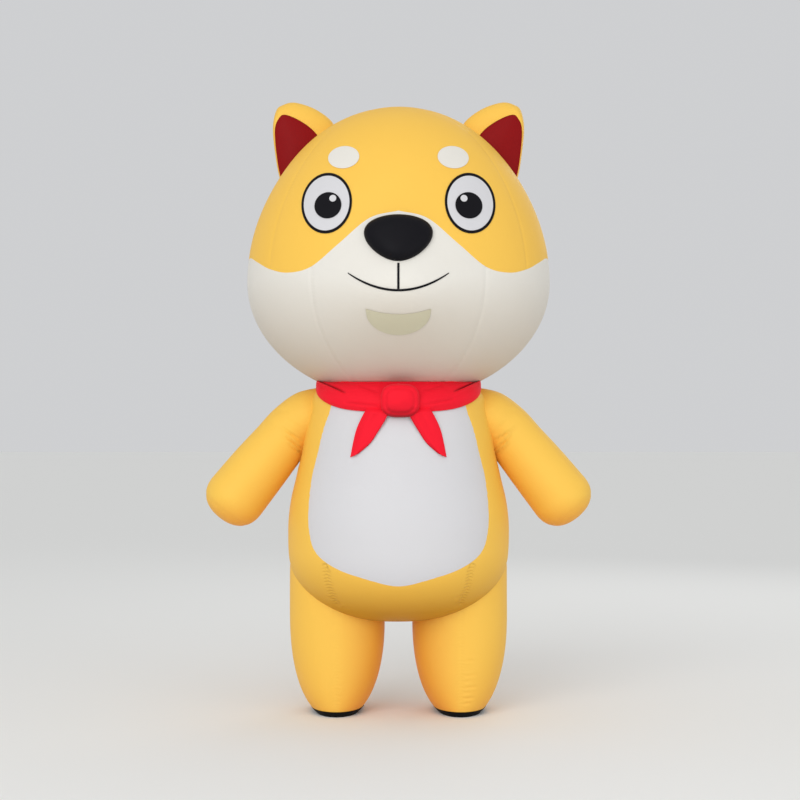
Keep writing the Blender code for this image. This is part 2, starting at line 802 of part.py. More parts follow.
def build_torso(parts, cutters, hollows):
    runs = torso_runs()
    belly = add_prism("belly_cutter", belly_outline(-SEAM_GAP / 2), BELLY_CUT_DEPTHS, cutters)
    around_belly = add_prism("belly_hole", belly_outline(SEAM_GAP / 2), BELLY_CUT_DEPTHS, cutters)
    columns = steps(-BELLY_SPAN, BELLY_SPAN, TORSO_STEP)
    rows = places_at(columns, runs[BELLY_FIRST_ROW:])
    panel = add_panel("belly_panel", torso_point, rows, "white", parts)
    cut(panel, belly, "INTERSECT")
    columns = steps(-LOW_SEAM, LOW_SEAM, TORSO_STEP)
    rows = places_at(columns, runs[:LOW_PANEL_ROWS])
    low = add_panel("torso_front_low", torso_point, rows, "yellow", parts)
    columns = steps(LOW_SEAM, SIDE_SEAM, TORSO_STEP)
    sides = places_at(columns, runs)
    backs = places_at(steps(SIDE_SEAM, 180, TORSO_STEP), runs)
    slot = add_prism("zip_slot", zip_slot_outline(), ZIP_CUT_DEPTHS, cutters)
    cut(low, around_belly)
    for hollow in hollows["leg"].values():
        cut(low, hollow)
    for side, label in ((1, "_L"), (-1, "_R")):
        front = add_panel(f"torso_side_front{label}", torso_point, sides, "yellow", parts, side)
        back = add_panel(f"torso_back{label}", torso_point, backs, "yellow", parts, side)
        cut(front, around_belly)
        cut(back, slot)
        for piece in (front, back):
            cut(piece, hollows["leg"][side])
            cut(piece, hollows["arm"][side])
    turns = np.arange(0, 360, TORSO_STEP)
    rings = places_at(turns, (runs[0], *GUSSET_RUNS))
    gusset = add_panel(
        "torso_gusset", torso_point, rings, "yellow", parts, wraps=True, closed_end=True
    )
    for hollow in hollows["leg"].values():
        cut(gusset, hollow)


def zip_heights():
    """Torso runs that the zip spans, so that it follows the cloth's own rows."""
    return torso_runs()[ZIP_FIRST_ROW:ZIP_LAST_ROW + 1]


def zip_slot_outline():
    low = torso_ring(zip_heights()[0])[1]
    high = torso_ring(zip_heights()[-1])[1]
    half = ZIP_SLOT_HALF
    return [(-half, low), (half, low), (half, high), (-half, high)]


def build_arms(parts, torso_core, head_core):
    tube = [*span(ARM_START, 1, ARM_ROWS), *(1 + angle / 90 for angle in ARM_END_ANGLES)]
    for side, label in ((1, "_L"), (-1, "_R")):
        for name, turns in (
            ("arm_front", steps(0, 180, ARM_STEP)),
            ("arm_back", steps(180, 360, ARM_STEP)),
        ):
            places = places_at(turns, tube)
            piece = add_panel(name + label, arm_point, places, "yellow", parts, side)
            cut(piece, torso_core)
            cut(piece, head_core)
        turns = np.arange(0, 360, ARM_STEP)
        places = places_at(turns, [1 + angle / 90 for angle in ARM_CAP_ANGLES])
        add_panel(
            f"arm_cap{label}", arm_point, places, "yellow", parts, side, wraps=True, closed_end=True
        )


def sole_grid(inset, floor_z):
    """Rings of a sole from its upper edge down the foot and across the floor to its middle."""
    rows = []
    for height in (LEG_HEIGHTS[1], LEG_HEIGHTS[0], floor_z):
        row = []
        for azimuth in np.arange(0, 360, LEG_STEP):
            point = leg_point(azimuth, height)
            row.append(point + inset * normal_at(leg_point, azimuth, height))
        rows.append(row)
    edge = np.array(rows[-1])
    edge[:, 2] = floor_z
    rows[-1] = edge
    middle = np.array((LEG_X, 0.0, floor_z))
    rows.append(middle + (edge - middle) * SOLE_RING_SHARE)
    rows.append(np.array([middle] * len(edge)))
    return np.array(rows)


def build_legs(parts, torso_core):
    for side, label in ((1, "_L"), (-1, "_R")):
        for name, turns in (
            ("leg_outer", steps(0, 180, LEG_STEP)),
            ("leg_inner", steps(180, 360, LEG_STEP)),
        ):
            places = places_at(turns, LEG_HEIGHTS)
            piece = add_panel(name + label, leg_point, places, "yellow", parts, side)
            cut(piece, torso_core)
        outer = sole_grid(SEAM_GAP + WALL, 0.0)
        inner = sole_grid(SEAM_GAP, WALL)
        if side < 0:
            outer = outer * MIRROR_X
            inner = inner * MIRROR_X
        mesh = wall_mesh(f"sole{label}", outer, inner, True, True)
        add_object(f"sole{label}", mesh, parts, "black")


def scarf_point(azimuth, share):
    """Point of the neckerchief's band from its upper (0) to its lower edge (1)."""
    side = math.sin(math.radians(azimuth)) ** SCARF_SIDE_POWER
    low = SCARF_FRONT_LOW + SCARF_SIDE_RISE * side
    height = SCARF_TOP + (low - SCARF_TOP) * share
    arch = math.sin(math.pi * min(max(share, 0.0), 1.0)) ** SCARF_ARCH_FULLNESS
    bulge = SCARF_BULGE * (1 + (SCARF_SIDE_SWELL - 1) * side)
    lift = SCARF_SEAT + SCARF_WALL + bulge * arch
    run = height - TORSO_WIDE_Z
    return torso_point(azimuth, run) + lift * normal_at(torso_point, azimuth, run)


def knot_grid(inset):
    """Rings of the knot from its back edge to its middle, a puffed square with a groove."""
    x0, z0, half_width, half_height = KNOT
    rows = []
    for share in KNOT_RINGS:
        row = []
        for turn in np.linspace(0, 2 * math.pi, KNOT_SIDES, endpoint=False):
            across = math.copysign(abs(math.cos(turn)) ** KNOT_SQUARENESS, math.cos(turn))
            along = math.copysign(abs(math.sin(turn)) ** KNOT_SQUARENESS, math.sin(turn))
            off_groove = (share - KNOT_GROOVE_SHARE) / KNOT_GROOVE_WIDTH
            groove = KNOT_GROOVE * math.exp(-(off_groove**2))
            depth = KNOT_DEPTH * (1 - share**4) ** 0.5 - groove
            x = x0 + (half_width - inset) * share * across
            z = z0 + (half_height - inset) * share * along
            row.append((x, KNOT_SEAT_Y - max(depth, 0.0) + inset, z))
        rows.append(row)
    return np.array(rows)


def add_knot_core(cutters):
    """Solid of the knot, grown by a seam gap and reaching back to the body, to cut the tails."""
    rings = knot_grid(-SEAM_GAP)
    back = rings[:1] + np.array((0.0, KNOT_CORE_REACH, 0.0))

    def build(work):
        rows = [[work.verts.new(point) for point in ring] for ring in (*back, *rings[:-1])]
        for lower, upper in zip(rows[:-1], rows[1:]):
            add_quads(work, lower, upper, True)
        add_fan(work, rows[-1], work.verts.new(rings[-1, 0]), True)
        work.faces.new(rows[0])

    return add_object("knot_core", mesh_from(build, "knot_core"), cutters)


def tail_point(across, share):
    """Point of the left tail: across is 0 at its outer edge and 1 at its inner one."""
    outer_x, outer_z, inner_x, inner_z = smooth_row(TAIL_ROWS, share)
    x = outer_x + (inner_x - outer_x) * across
    z = outer_z + (inner_z - outer_z) * across
    puff = TAIL_PUFF * math.sin(math.pi * min(max(across, 0.0), 1.0))
    lift = TAIL_REST + puff + TAIL_TOP_LIFT * (1 - share) ** 2
    return torso_front(x, z) - np.array((0.0, lift, 0.0))


def build_scarf(parts, cutters, arm_cores, head_core):
    turns = np.arange(0, 360, TORSO_STEP)
    places = places_at(turns, SCARF_SHARES)
    outer = grid_of(scarf_point, places)
    inner = grid_of(scarf_point, places, -SCARF_WALL)
    band = add_object("scarf_band", wall_mesh("scarf_band", outer, inner, True), parts, "red")
    for core in (*arm_cores, head_core):
        cut(band, core)
    mesh = wall_mesh("scarf_knot", knot_grid(0.0), knot_grid(SCARF_WALL), True, True)
    add_object("scarf_knot", mesh, parts, "red")
    knot_core = add_knot_core(cutters)
    places = places_at(span(0, 1, TAIL_COLUMNS), span(0, 1, TAIL_STEPS))
    for side, label in ((1, "_L"), (-1, "_R")):
        outer = grid_of(tail_point, places)
        inner = outer + np.array((0.0, SCARF_WALL, 0.0))
        if side < 0:
            outer = outer * MIRROR_X
            inner = inner * MIRROR_X
        name = f"scarf_tail{label}"
        tail = add_object(name, wall_mesh(name, outer, inner), parts, "red")
        cut(tail, knot_core)


def back_frame(run):
    """Centre back point of the cloth, and its normal."""
    return torso_point(180, run), normal_at(torso_point, 180, run)


def build_zip(parts):
    """Tape with its closed coil, following the rows of the back panels, and the slider on top."""
    deep = WALL + SEAM_GAP
    facet_drop = ZIP_TAPE_HALF * math.tan(math.radians(TORSO_STEP / 2))
    profile = (
        (-ZIP_TAPE_HALF, -deep - facet_drop - ZIP_TAPE_THICKNESS),
        (-ZIP_TAPE_HALF, -deep - facet_drop),
        (-ZIP_COIL_HALF, -deep - facet_drop * ZIP_COIL_HALF / ZIP_TAPE_HALF),
        (-ZIP_COIL_HALF, ZIP_COIL_PROUD),
        (ZIP_COIL_HALF, ZIP_COIL_PROUD),
        (ZIP_COIL_HALF, -deep - facet_drop * ZIP_COIL_HALF / ZIP_TAPE_HALF),
        (ZIP_TAPE_HALF, -deep - facet_drop),
        (ZIP_TAPE_HALF, -deep - facet_drop - ZIP_TAPE_THICKNESS),
    )

    def build(work):
        rows = []
        for run in zip_heights():
            point, normal = back_frame(run)
            row = [point + np.array((x, 0.0, 0.0)) + depth * normal for x, depth in profile]
            rows.append([work.verts.new(corner) for corner in row])
        for lower, upper in zip(rows[:-1], rows[1:]):
            add_quads(work, lower, upper, True)
        work.faces.new(rows[0])
        work.faces.new(rows[-1])

    add_object("zip_tape", mesh_from(build, "zip_tape"), parts, "yellow")


def add_block(name, size, centre, tilt, collection, look=None):
    """Box of a size in metres, turned about X."""
    bpy.ops.mesh.primitive_cube_add(size=1.0)
    return take_primitive(name, size, centre, (tilt, 0.0, 0.0), collection, look)


def add_rod(name, radius, length, centre, turn, collection, look=None):
    """Cylinder across the costume, or turned so that it runs front to back."""
    bpy.ops.mesh.primitive_cylinder_add(vertices=ROD_SIDES, radius=radius, depth=length)
    return take_primitive(name, (1, 1, 1), centre, turn, collection, look)


def take_primitive(name, size, centre, turn, collection, look):
    """Move a new primitive to its collection, sized in its mesh and placed by the object."""
    thing = bpy.context.active_object
    mesh = thing.data
    bpy.data.objects.remove(thing, do_unlink=True)
    mesh.transform(Matrix.Diagonal((*size, 1.0)))
    thing = add_object(name, mesh, collection, look)
    thing.location = centre
    thing.rotation_euler = turn
    return thing


def build_slider(parts, cutters):
    """Zip slider at the closed end, with the pull tab hanging from its bar."""
    foot, normal = back_frame(SLIDER_Z - TORSO_WIDE_Z)
    tilt = math.atan2(normal[2], normal[1]) - math.pi / 2
    across = (0.0, math.pi / 2, 0.0)
    seat = ZIP_COIL_PROUD + SEAM_GAP - SLIDER_SINK
    plate_height = seat + SLIDER_PLATE[2] / 2
    centre = foot + plate_height * normal
    slider = add_block("zip_slider", SLIDER_PLATE, centre, tilt, parts, "metal")
    cheek_x = (SLIDER_PLATE[0] - SLIDER_CHEEK[0]) / 2
    for side in (-1, 1):
        centre = foot + (seat + SLIDER_CHEEK[2] / 2) * normal
        centre[0] = side * cheek_x
        cheek = add_block(f"slider_cheek_{side}", SLIDER_CHEEK, centre, tilt, cutters)
        cut(slider, cheek, "UNION")
    axis = foot + (seat + SLIDER_BAR_HEIGHT) * normal
    bar_length = SLIDER_PLATE[0] - SLIDER_CHEEK[0]
    bar = add_rod("slider_bar", SLIDER_BAR_RADIUS, bar_length, axis, across, cutters)
    cut(slider, bar, "UNION")
    eye_drop = np.array((0.0, 0.0, PULL_PLATE[2] / 2 + PULL_BORE_RADIUS + PULL_EYE_GAP))
    pull = add_rod("zip_pull", PULL_EYE_RADIUS, PULL_PLATE[0], axis, across, parts, "metal")
    plate = add_block("pull_plate", PULL_PLATE, axis - eye_drop, 0.0, cutters)
    cut(pull, plate, "UNION")
    bore_length = 2 * PULL_PLATE[0]
    bore = add_rod("pull_bore", PULL_BORE_RADIUS, bore_length, axis, across, cutters)
    cut(pull, bore)
    hole_drop = np.array((0.0, 0.0, PULL_PLATE[2] - PULL_HOLE_RADIUS))
    through = (math.pi / 2, 0.0, 0.0)
    hole_at = axis - hole_drop
    hole = add_rod("pull_hole", PULL_HOLE_RADIUS, PULL_HOLE_DEPTH, hole_at, through, cutters)
    cut(pull, hole)


def main():
    for thing in list(bpy.data.objects):
        bpy.data.objects.remove(thing, do_unlink=True)
    parts = bpy.data.collections.new("dog_mascot_costume")
    cutters = bpy.data.collections.new("cutters")
    for collection in (parts, cutters):
        bpy.context.scene.collection.children.link(collection)
    turns = np.arange(0, 360, TORSO_STEP)
    runs = [*GUSSET_RUNS[::-1], *torso_runs()]
    torso_core = add_core("torso_core", torso_point, places_at(turns, runs), SEAM_GAP, cutters)
    head_core = add_core("head_core", head_point, head_core_places(), SEAM_GAP, cutters)
    arm_turns = np.arange(0, 360, ARM_STEP)
    end_angles = (*ARM_END_ANGLES, *ARM_CAP_ANGLES[1:-1])
    arm_runs = [*span(ARM_START, 1, ARM_ROWS), *(1 + angle / 90 for angle in end_angles)]
    leg_turns = np.arange(0, 360, LEG_STEP)
    hollows = {"arm": {}, "leg": {}}
    arm_cores = []
    for side, label in ((1, "_L"), (-1, "_R")):
        places = places_at(arm_turns, arm_runs)
        hollow = add_core(f"arm_hollow{label}", arm_point, places, -WALL, cutters, side)
        hollows["arm"][side] = hollow
        arm_cores.append(add_core(f"arm_core{label}", arm_point, places, SEAM_GAP, cutters, side))
        places = places_at(leg_turns, LEG_HEIGHTS)
        hollows["leg"][side] = add_core(
            f"leg_hollow{label}", leg_point, places, -WALL, cutters, side
        )
    build_head(parts)
    build_face(parts)
    build_ears(parts, head_core)
    build_torso(parts, cutters, hollows)
    build_arms(parts, torso_core, head_core)
    build_legs(parts, torso_core)
    build_scarf(parts, cutters, arm_cores, head_core)
    build_zip(parts)
    build_slider(parts, cutters)
    axis = bpy.data.objects.new("body_axis", None)
    bpy.context.scene.collection.objects.link(axis)
    axis.location = (0.0, AXIS_Y, 0.0)
    for thing in (*parts.objects, *cutters.objects):
        thing.parent = axis


main()
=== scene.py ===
import json
import math

import bpy
import numpy as np
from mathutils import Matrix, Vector, kdtree


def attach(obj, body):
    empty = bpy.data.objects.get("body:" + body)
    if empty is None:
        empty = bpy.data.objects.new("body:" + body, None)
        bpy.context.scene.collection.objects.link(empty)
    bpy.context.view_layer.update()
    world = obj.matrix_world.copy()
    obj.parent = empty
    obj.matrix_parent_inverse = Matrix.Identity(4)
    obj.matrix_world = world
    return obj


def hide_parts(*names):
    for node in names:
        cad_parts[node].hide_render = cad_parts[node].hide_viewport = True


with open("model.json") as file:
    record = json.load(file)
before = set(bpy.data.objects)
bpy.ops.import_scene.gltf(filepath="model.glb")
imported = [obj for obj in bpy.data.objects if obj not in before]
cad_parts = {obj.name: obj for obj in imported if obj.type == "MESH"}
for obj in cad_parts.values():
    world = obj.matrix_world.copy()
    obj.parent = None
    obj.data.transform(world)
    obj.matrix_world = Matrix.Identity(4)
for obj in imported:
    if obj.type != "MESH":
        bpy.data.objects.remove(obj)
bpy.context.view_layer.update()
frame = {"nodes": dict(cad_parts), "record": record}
axisY = frame["record"]["mounts"][0]["pos_m"][1]  # the body's upright axis

# Sizes are in metres and angles in degrees. The front faces -Y and the costume's own left is +X.
# cell is the usual size of a mesh face, and edgeSpread how much finer the faces are at a cut edge.
cloth = {
    "thickness": 0.0012, "cell": 0.0100, "edgeSpread": 0.55, "allowance": 0.010, "weld": 0.00002, "sharpAngle": 50,
}
noSeam = 1.0  # seam distance of a piece that shows no sewn line


# Smooth curves through rows of (place, values...), and even or edge-crowded steps
def rowValues(rows, at):
    table = np.array(rows, float)
    places = table[:, 0]
    slopes = np.gradient(table[:, 1:], places, axis=0)
    at = np.clip(at, places[0], places[-1])
    first = np.clip(np.searchsorted(places, at, side="right") - 1, 0, len(rows) - 2)
    step = (places[first + 1] - places[first])[..., None]
    share = (at - places[first])[..., None] / step
    rest = 1 - share
    return (
        (1 + 2 * share) * rest**2 * table[first, 1:]
        + share * rest**2 * step * slopes[first]
        + share**2 * (3 - 2 * share) * table[first + 1, 1:]
        - share**2 * rest * step * slopes[first + 1]
    )


def loopValues(rows, turn):
    count = len(rows)
    padded = [(place, *rows[place % count]) for place in range(-2, count + 3)]
    return rowValues(padded, (np.asarray(turn) % 1.0) * count)


def crowded(low, high, count, amount=None):
    amount = cloth["edgeSpread"] if amount is None else amount
    share = np.linspace(0, 1, max(count, 2) + 1)
    share = share - amount * np.sin(2 * np.pi * share) / (2 * np.pi)
    return low + (high - low) * share


def stepCount(length):
    return max(int(round(length / cloth["cell"])), 4)


def gridOf(columns, rows):
    # Each column's parameter with each row's
    return tuple(part.copy() for part in np.broadcast_arrays(columns[None, :], rows[:, None]))

# Head: two half ellipsoids with a soft muzzle swell
head = {
    "centerZ": 1.829, "halfWidth": 0.646, "halfDepth": 0.58, "lift": 0.750, "drop": 0.50, "neckZ": 1.395,
    "muzzleSwell": 0.08, "muzzleZ": 1.75, "muzzleHalfWidth": 0.26, "muzzleHalfHeight": 0.20, "topRise": 89.96,
    "slimness": 0.024, "backRows": (16, 130),
    "crownSeam": 55, "muzzleSeam": 33, "cheekSeam": 77, "backSeam": 132,
    "maskEdge": (
        (0, 2.085), (11, 2.055), (22, 1.955), (33, 1.865), (44, 1.845), (55, 1.865), (66, 1.900),
        (77, 1.925), (88, 1.915), (99, 1.860), (110, 1.760), (121, 1.630), (132, 1.500),
    ),
}


def headRise(height):
    lift = np.where(height > head["centerZ"], head["lift"], head["drop"])
    return np.degrees(np.arcsin(np.clip((height - head["centerZ"]) / lift, -1, 1)))


def headRing(rise):
    # Share of the full width; the crown is a little leaner than an ellipsoid
    lean = head["slimness"] * np.sin(2 * np.radians(np.maximum(rise, 0))) ** 2
    return np.cos(np.radians(rise)) * (1 - lean)


def headPoint(azimuth, rise):
    turn = np.radians(azimuth)
    angle = np.radians(rise)
    ring = headRing(rise)
    lift = np.where(rise > 0, head["lift"], head["drop"])
    x = head["halfWidth"] * ring * np.sin(turn)
    z = head["centerZ"] + lift * np.sin(angle)
    front = np.maximum(np.cos(turn), 0.0)
    across = x / head["muzzleHalfWidth"]
    along = (z - head["muzzleZ"]) / head["muzzleHalfHeight"]
    swell = head["muzzleSwell"] * front**2 * np.exp(-(across**2) - along**2)
    return np.stack((x, -head["halfDepth"] * ring * np.cos(turn) - swell, z), axis=-1)


def facePoint(x, z):
    rise = headRise(z)
    ring = head["halfWidth"] * headRing(rise)
    return headPoint(np.degrees(np.arcsin(np.clip(x / ring, -1, 1))), rise)


def maskRise(azimuth):
    return headRise(rowValues(head["maskEdge"], np.abs(azimuth))[..., 0])


def neckRise(azimuth):
    return headRise(np.full(np.shape(azimuth), head["neckZ"]))


def topRise(azimuth):
    return np.full(np.shape(azimuth), head["topRise"])


def outsideHead(points):
    # Distance outside the head, about in metres
    lift = np.where(points[..., 2] > head["centerZ"], head["lift"], head["drop"])
    up = (points[..., 2] - head["centerZ"]) / lift
    ring = np.where(np.abs(up) < 1, headRing(np.degrees(np.arcsin(np.clip(up, -1, 1)))), -1)
    reach = np.sqrt((points[..., 0] / head["halfWidth"]) ** 2 + (points[..., 1] / head["halfDepth"]) ** 2)
    return (reach - ring) * head["halfWidth"]


# Torso: a rounded bottom below its widest level (degrees), rings above it (metres)
torso = {
    "halfWidth": 0.472, "wideZ": 0.771, "drop": 0.379, "fullness": 3.0, "depthRatio": 0.932,
    "gussetRun": -71.4, "lowSeam": 40, "lowSeamRuns": (-41, -10), "sideSeam": 100, "bellySpan": 64,
    "zipSlot": (0.586, 1.240), "zipSlotHalf": 0.005, "lowRows": 96, "highRows": 92,
    "underLap": 0.007, "bellyLap": 0.005, "lapEdge": 0.0008, "lapDepth": 0.0016,
    "rings": (
        (0.642, 0.460), (0.771, 0.472), (0.900, 0.460), (1.000, 0.437), (1.092, 0.418),
        (1.200, 0.405), (1.285, 0.386), (1.349, 0.368), (1.395, 0.321),
    ),
    "belly": (
        (0.000, 0.571), (0.148, 0.603), (0.239, 0.631), (0.305, 0.665), (0.344, 0.702), (0.365, 0.752),
        (0.375, 0.848), (0.363, 0.994), (0.344, 1.079), (0.312, 1.208), (0.281, 1.302), (0.258, 1.450),
    ),
}
neckRun = head["neckZ"] - torso["wideZ"]


def torsoWidth(height):
    low = np.clip((torso["wideZ"] - height) / torso["drop"], 0, 1)
    below = torso["halfWidth"] * (1 - low ** torso["fullness"]) ** (1 / torso["fullness"])
    above = rowValues(torso["rings"], height)[..., 0]
    return np.where(height > torso["wideZ"], above, below)


def torsoPoint(azimuth, run):
    turn = np.radians(azimuth)
    angle = np.radians(np.clip(-run, 0, 90))
    share = 2 / torso["fullness"]
    below = torso["halfWidth"] * np.abs(np.cos(angle)) ** share
    height = np.where(run <= 0, torso["wideZ"] - torso["drop"] * np.sin(angle) ** share, torso["wideZ"] + run)
    width = np.where(run <= 0, below, rowValues(torso["rings"], height)[..., 0])
    y = -torso["depthRatio"] * width * np.cos(turn)
    return np.stack((width * np.sin(turn), y, height), axis=-1)


def torsoFront(x, z):
    width = torsoWidth(z)
    return torsoPoint(np.degrees(np.arcsin(np.clip(x / width, -1, 1))), z - torso["wideZ"])


def outsideTorso(points):
    width = np.maximum(torsoWidth(points[..., 2]), 1e-3)
    reach = np.sqrt(points[..., 0] ** 2 + (points[..., 1] / torso["depthRatio"]) ** 2)
    return reach - np.where(points[..., 2] > torso["wideZ"] - torso["drop"], width, -1)


def bellyOutline():
    rows = [(place, *row) for place, row in enumerate(torso["belly"])]
    rows = [(-place, -x, z) for place, x, z in rows[:0:-1]] + rows
    last = len(torso["belly"]) - 1
    return rowValues(rows, np.linspace(-last, last, 40 * last + 1))


def outsideBelly(points):
    # Signed distance to the belly outline in the front view; the back of the body counts as outside
    outline = bellyOutline()
    flat = points[..., ::2].reshape(-1, 2)
    tree = kdtree.KDTree(len(outline))
    for place, (x, z) in enumerate(outline):
        tree.insert((x, z, 0), place)
    tree.balance()
    near = np.array([tree.find((x, z, 0))[1:] for x, z in flat])
    after = np.roll(outline, -1, axis=0)
    inside = np.zeros(len(flat), bool)
    for (x0, z0), (x1, z1) in zip(outline, after):
        if z0 != z1:
            crosses = (z0 > flat[:, 1]) != (z1 > flat[:, 1])
            inside ^= crosses & (flat[:, 0] < (x1 - x0) * (flat[:, 1] - z0) / (z1 - z0) + x0)
    distance = np.where(inside, -near[:, 1], near[:, 1]).reshape(points.shape[:-1])
    return np.where(points[..., 1] < 0, distance, 1.0)


# Arm: centre line and radius, then a blunt end
arm = {
    "rings": (
        (0.2000, 1.300, 0.085), (0.3000, 1.288, 0.098), (0.3800, 1.255, 0.118), (0.4570, 1.206, 0.113),
        (0.5190, 1.131, 0.118), (0.6030, 1.029, 0.126), (0.6929, 0.917, 0.132),
    ),
    "endLength": 0.117, "fullness": 2.3, "capAngle": 36, "underLap": 0.02,
    "columns": {"arm_front": 104, "arm_back": 62}, "rows": 120, "capColumns": 88,
}


def armAxis(place):
    rows = [(index, *row) for index, row in enumerate(arm["rings"])]
    last = len(rows) - 1
    here = rowValues(rows, place)
    ahead = rowValues(rows, np.minimum(place + 0.01, last)) - rowValues(rows, np.minimum(place, last) - 0.01)
    way = ahead[..., :2] / np.linalg.norm(ahead[..., :2], axis=-1, keepdims=True)
    return here, way


def armPoint(turn, run):
    turn, run = np.broadcast_arrays(np.asarray(turn, float), np.asarray(run, float))
    angle = np.radians(turn)
    here, way = armAxis(np.minimum(run, 1.0) * (len(arm["rings"]) - 1))
    tilt = np.clip(run - 1, 0, 1) * np.pi / 2
    share = 2 / arm["fullness"]
    forward = arm["endLength"] * np.sin(tilt) ** share
    radius = here[..., 2] * np.abs(np.cos(tilt)) ** share
    x = here[..., 0] + way[..., 0] * forward - radius * np.cos(angle) * way[..., 1]
    z = here[..., 1] + way[..., 1] * forward + radius * np.cos(angle) * way[..., 0]
    return np.stack((x, -radius * np.sin(angle), z), axis=-1)


def armFront(x, z):
    # Point of the left arm's front at a place of the front view
    here, way = armAxis(np.linspace(0, len(arm["rings"]) - 1, 400))
    along = np.abs((x[:, None] - here[:, 0]) * way[:, 0] + (z[:, None] - here[:, 1]) * way[:, 1])
    nearest = np.argmin(along, axis=1)
    here = here[nearest]
    across = np.hypot(x - here[:, 0], z - here[:, 1])
    return np.stack((x, -np.sqrt(np.maximum(here[:, 2] ** 2 - across**2, 1e-6)), z), axis=-1)


def outsideArm(points):
    here, way = armAxis(np.linspace(0, len(arm["rings"]) - 1, 90))
    away = np.full(points.shape[:-1], 9.0)
    for (x, z, radius), (wayX, wayZ) in zip(here, way):
        along = (np.abs(points[..., 0]) - x) * wayX + (points[..., 2] - z) * wayZ
        across = np.sqrt((np.abs(points[..., 0]) - x) ** 2 + points[..., 1] ** 2 + (points[..., 2] - z) ** 2)
        away = np.where(np.abs(along) < 0.012, np.minimum(away, across - radius), away)
    return away


# Leg: an upright tube that closes in to the foot
leg = {
    "x": 0.261, "halfWidth": 0.2034, "halfDepth": 0.2136, "straightZ": 0.42, "widthDrop": 0.45,
    "widthFullness": 2.3, "depthDrop": 0.52, "depthFullness": 4.0, "lowZ": 0.010, "soleTop": 0.022,
    "underLap": 0.010, "columns": 60, "rows": 118,
}


def legHalves(height):
    narrow = np.clip((leg["straightZ"] - height) / leg["widthDrop"], 0, 1)
    shallow = np.clip((leg["straightZ"] - height) / leg["depthDrop"], 0, 1)
    halfWidth = leg["halfWidth"] * (1 - narrow ** leg["widthFullness"]) ** (1 / leg["widthFullness"])
    halfDepth = leg["halfDepth"] * (1 - shallow ** leg["depthFullness"]) ** (1 / leg["depthFullness"])
    return halfWidth, halfDepth


def legPoint(azimuth, height):
    azimuth, height = np.broadcast_arrays(np.asarray(azimuth, float), np.asarray(height, float))
    turn = np.radians(azimuth)
    halfWidth, halfDepth = legHalves(height)
    return np.stack((leg["x"] + halfWidth * np.sin(turn), -halfDepth * np.cos(turn), height), axis=-1)


def outsideLeg(points):
    halfWidth, halfDepth = legHalves(np.maximum(points[..., 2], 0.1))
    reach = np.sqrt(
        ((np.abs(points[..., 0]) - leg["x"]) / halfWidth) ** 2 + (points[..., 1] / halfDepth) ** 2
    )
    return np.maximum((reach - 1) * leg["halfWidth"], points[..., 2] - torso["wideZ"])


# Ear: a yellow shell round a dark red front panel
ear = {
    "loop": (
        (0.2805, 2.520, 0.335, 2.444), (0.3550, 2.583, 0.372, 2.492), (0.4476, 2.614, 0.432, 2.533),
        (0.5045, 2.601, 0.488, 2.554), (0.5290, 2.576, 0.513, 2.540), (0.5420, 2.505, 0.531, 2.492),
        (0.5330, 2.398, 0.526, 2.390), (0.5120, 2.284, 0.508, 2.285), (0.4700, 2.200, 0.470, 2.215),
        (0.3800, 2.220, 0.400, 2.250), (0.3000, 2.330, 0.345, 2.340), (0.2650, 2.430, 0.325, 2.400),
    ),
    "y": 0.085, "backDepth": 0.07, "frontDepth": 0.06, "swell": 0.02, "backFullness": 0.8, "underLap": 0.006,
    "columns": 150,
}
earMiddle = np.mean(np.array(ear["loop"]), axis=0)
earHeart = np.array((earMiddle[0], ear["y"], earMiddle[1]))


def earPoint(turn, run):
    turn, run = np.broadcast_arrays(np.asarray(turn, float), np.asarray(run, float))
    loop = loopValues(ear["loop"], turn)
    angle = np.abs(run)[..., None] * np.pi / 2
    back = earMiddle[:2] + (loop[..., :2] - earMiddle[:2]) * np.abs(np.cos(angle)) ** ear["backFullness"]
    front = loop[..., 2:] + (loop[..., :2] - loop[..., 2:]) * np.cos(angle)
    flat = np.where(run[..., None] < 0, back, front)
    depth = np.where(run < 0, ear["backDepth"], -ear["frontDepth"]) * np.sin(angle[..., 0])
    return np.stack((flat[..., 0], ear["y"] + depth, flat[..., 1]), axis=-1)


def earFrontPoint(turn, share):
    turn, share = np.broadcast_arrays(np.asarray(turn, float), np.asarray(share, float))
    loop = loopValues(ear["loop"], turn)
    flat = earMiddle[2:] + (loop[..., 2:] - earMiddle[2:]) * (1 - share)[..., None]
    depth = ear["frontDepth"] + ear["swell"] * (1 - (1 - share) ** 2)
    return np.stack((flat[..., 0], ear["y"] - depth, flat[..., 1]), axis=-1)


def normalsOf(surface, u, v, step=2e-4):
    across = surface(u + step, v) - surface(u - step, v)
    along = surface(u, v + step) - surface(u, v - step)
    normal = np.cross(across, along)
    length = np.linalg.norm(normal, axis=-1, keepdims=True)
    return normal / np.maximum(length, 1e-20), length[..., 0]


# Where one form leaves another: the last place along a column that is still inside
def leavingPlace(surface, columns, low, high, outside):
    low = np.full(len(columns), float(low))
    high = np.full(len(columns), float(high))
    for _ in range(30):
        middle = (low + high) / 2
        out = outside(surface(columns, middle)) > 0
        high = np.where(out, middle, high)
        low = np.where(out, low, middle)
    return (low + high) / 2


def armStart(turn, inside=0.0):
    place = leavingPlace(armPoint, turn, 0.02, 0.80, lambda p: np.minimum(outsideTorso(p), outsideHead(p)))
    return place - inside


def legTop(azimuth, inside=0.0):
    return inside + leavingPlace(legPoint, azimuth, 0.760, 0.25, outsideTorso)


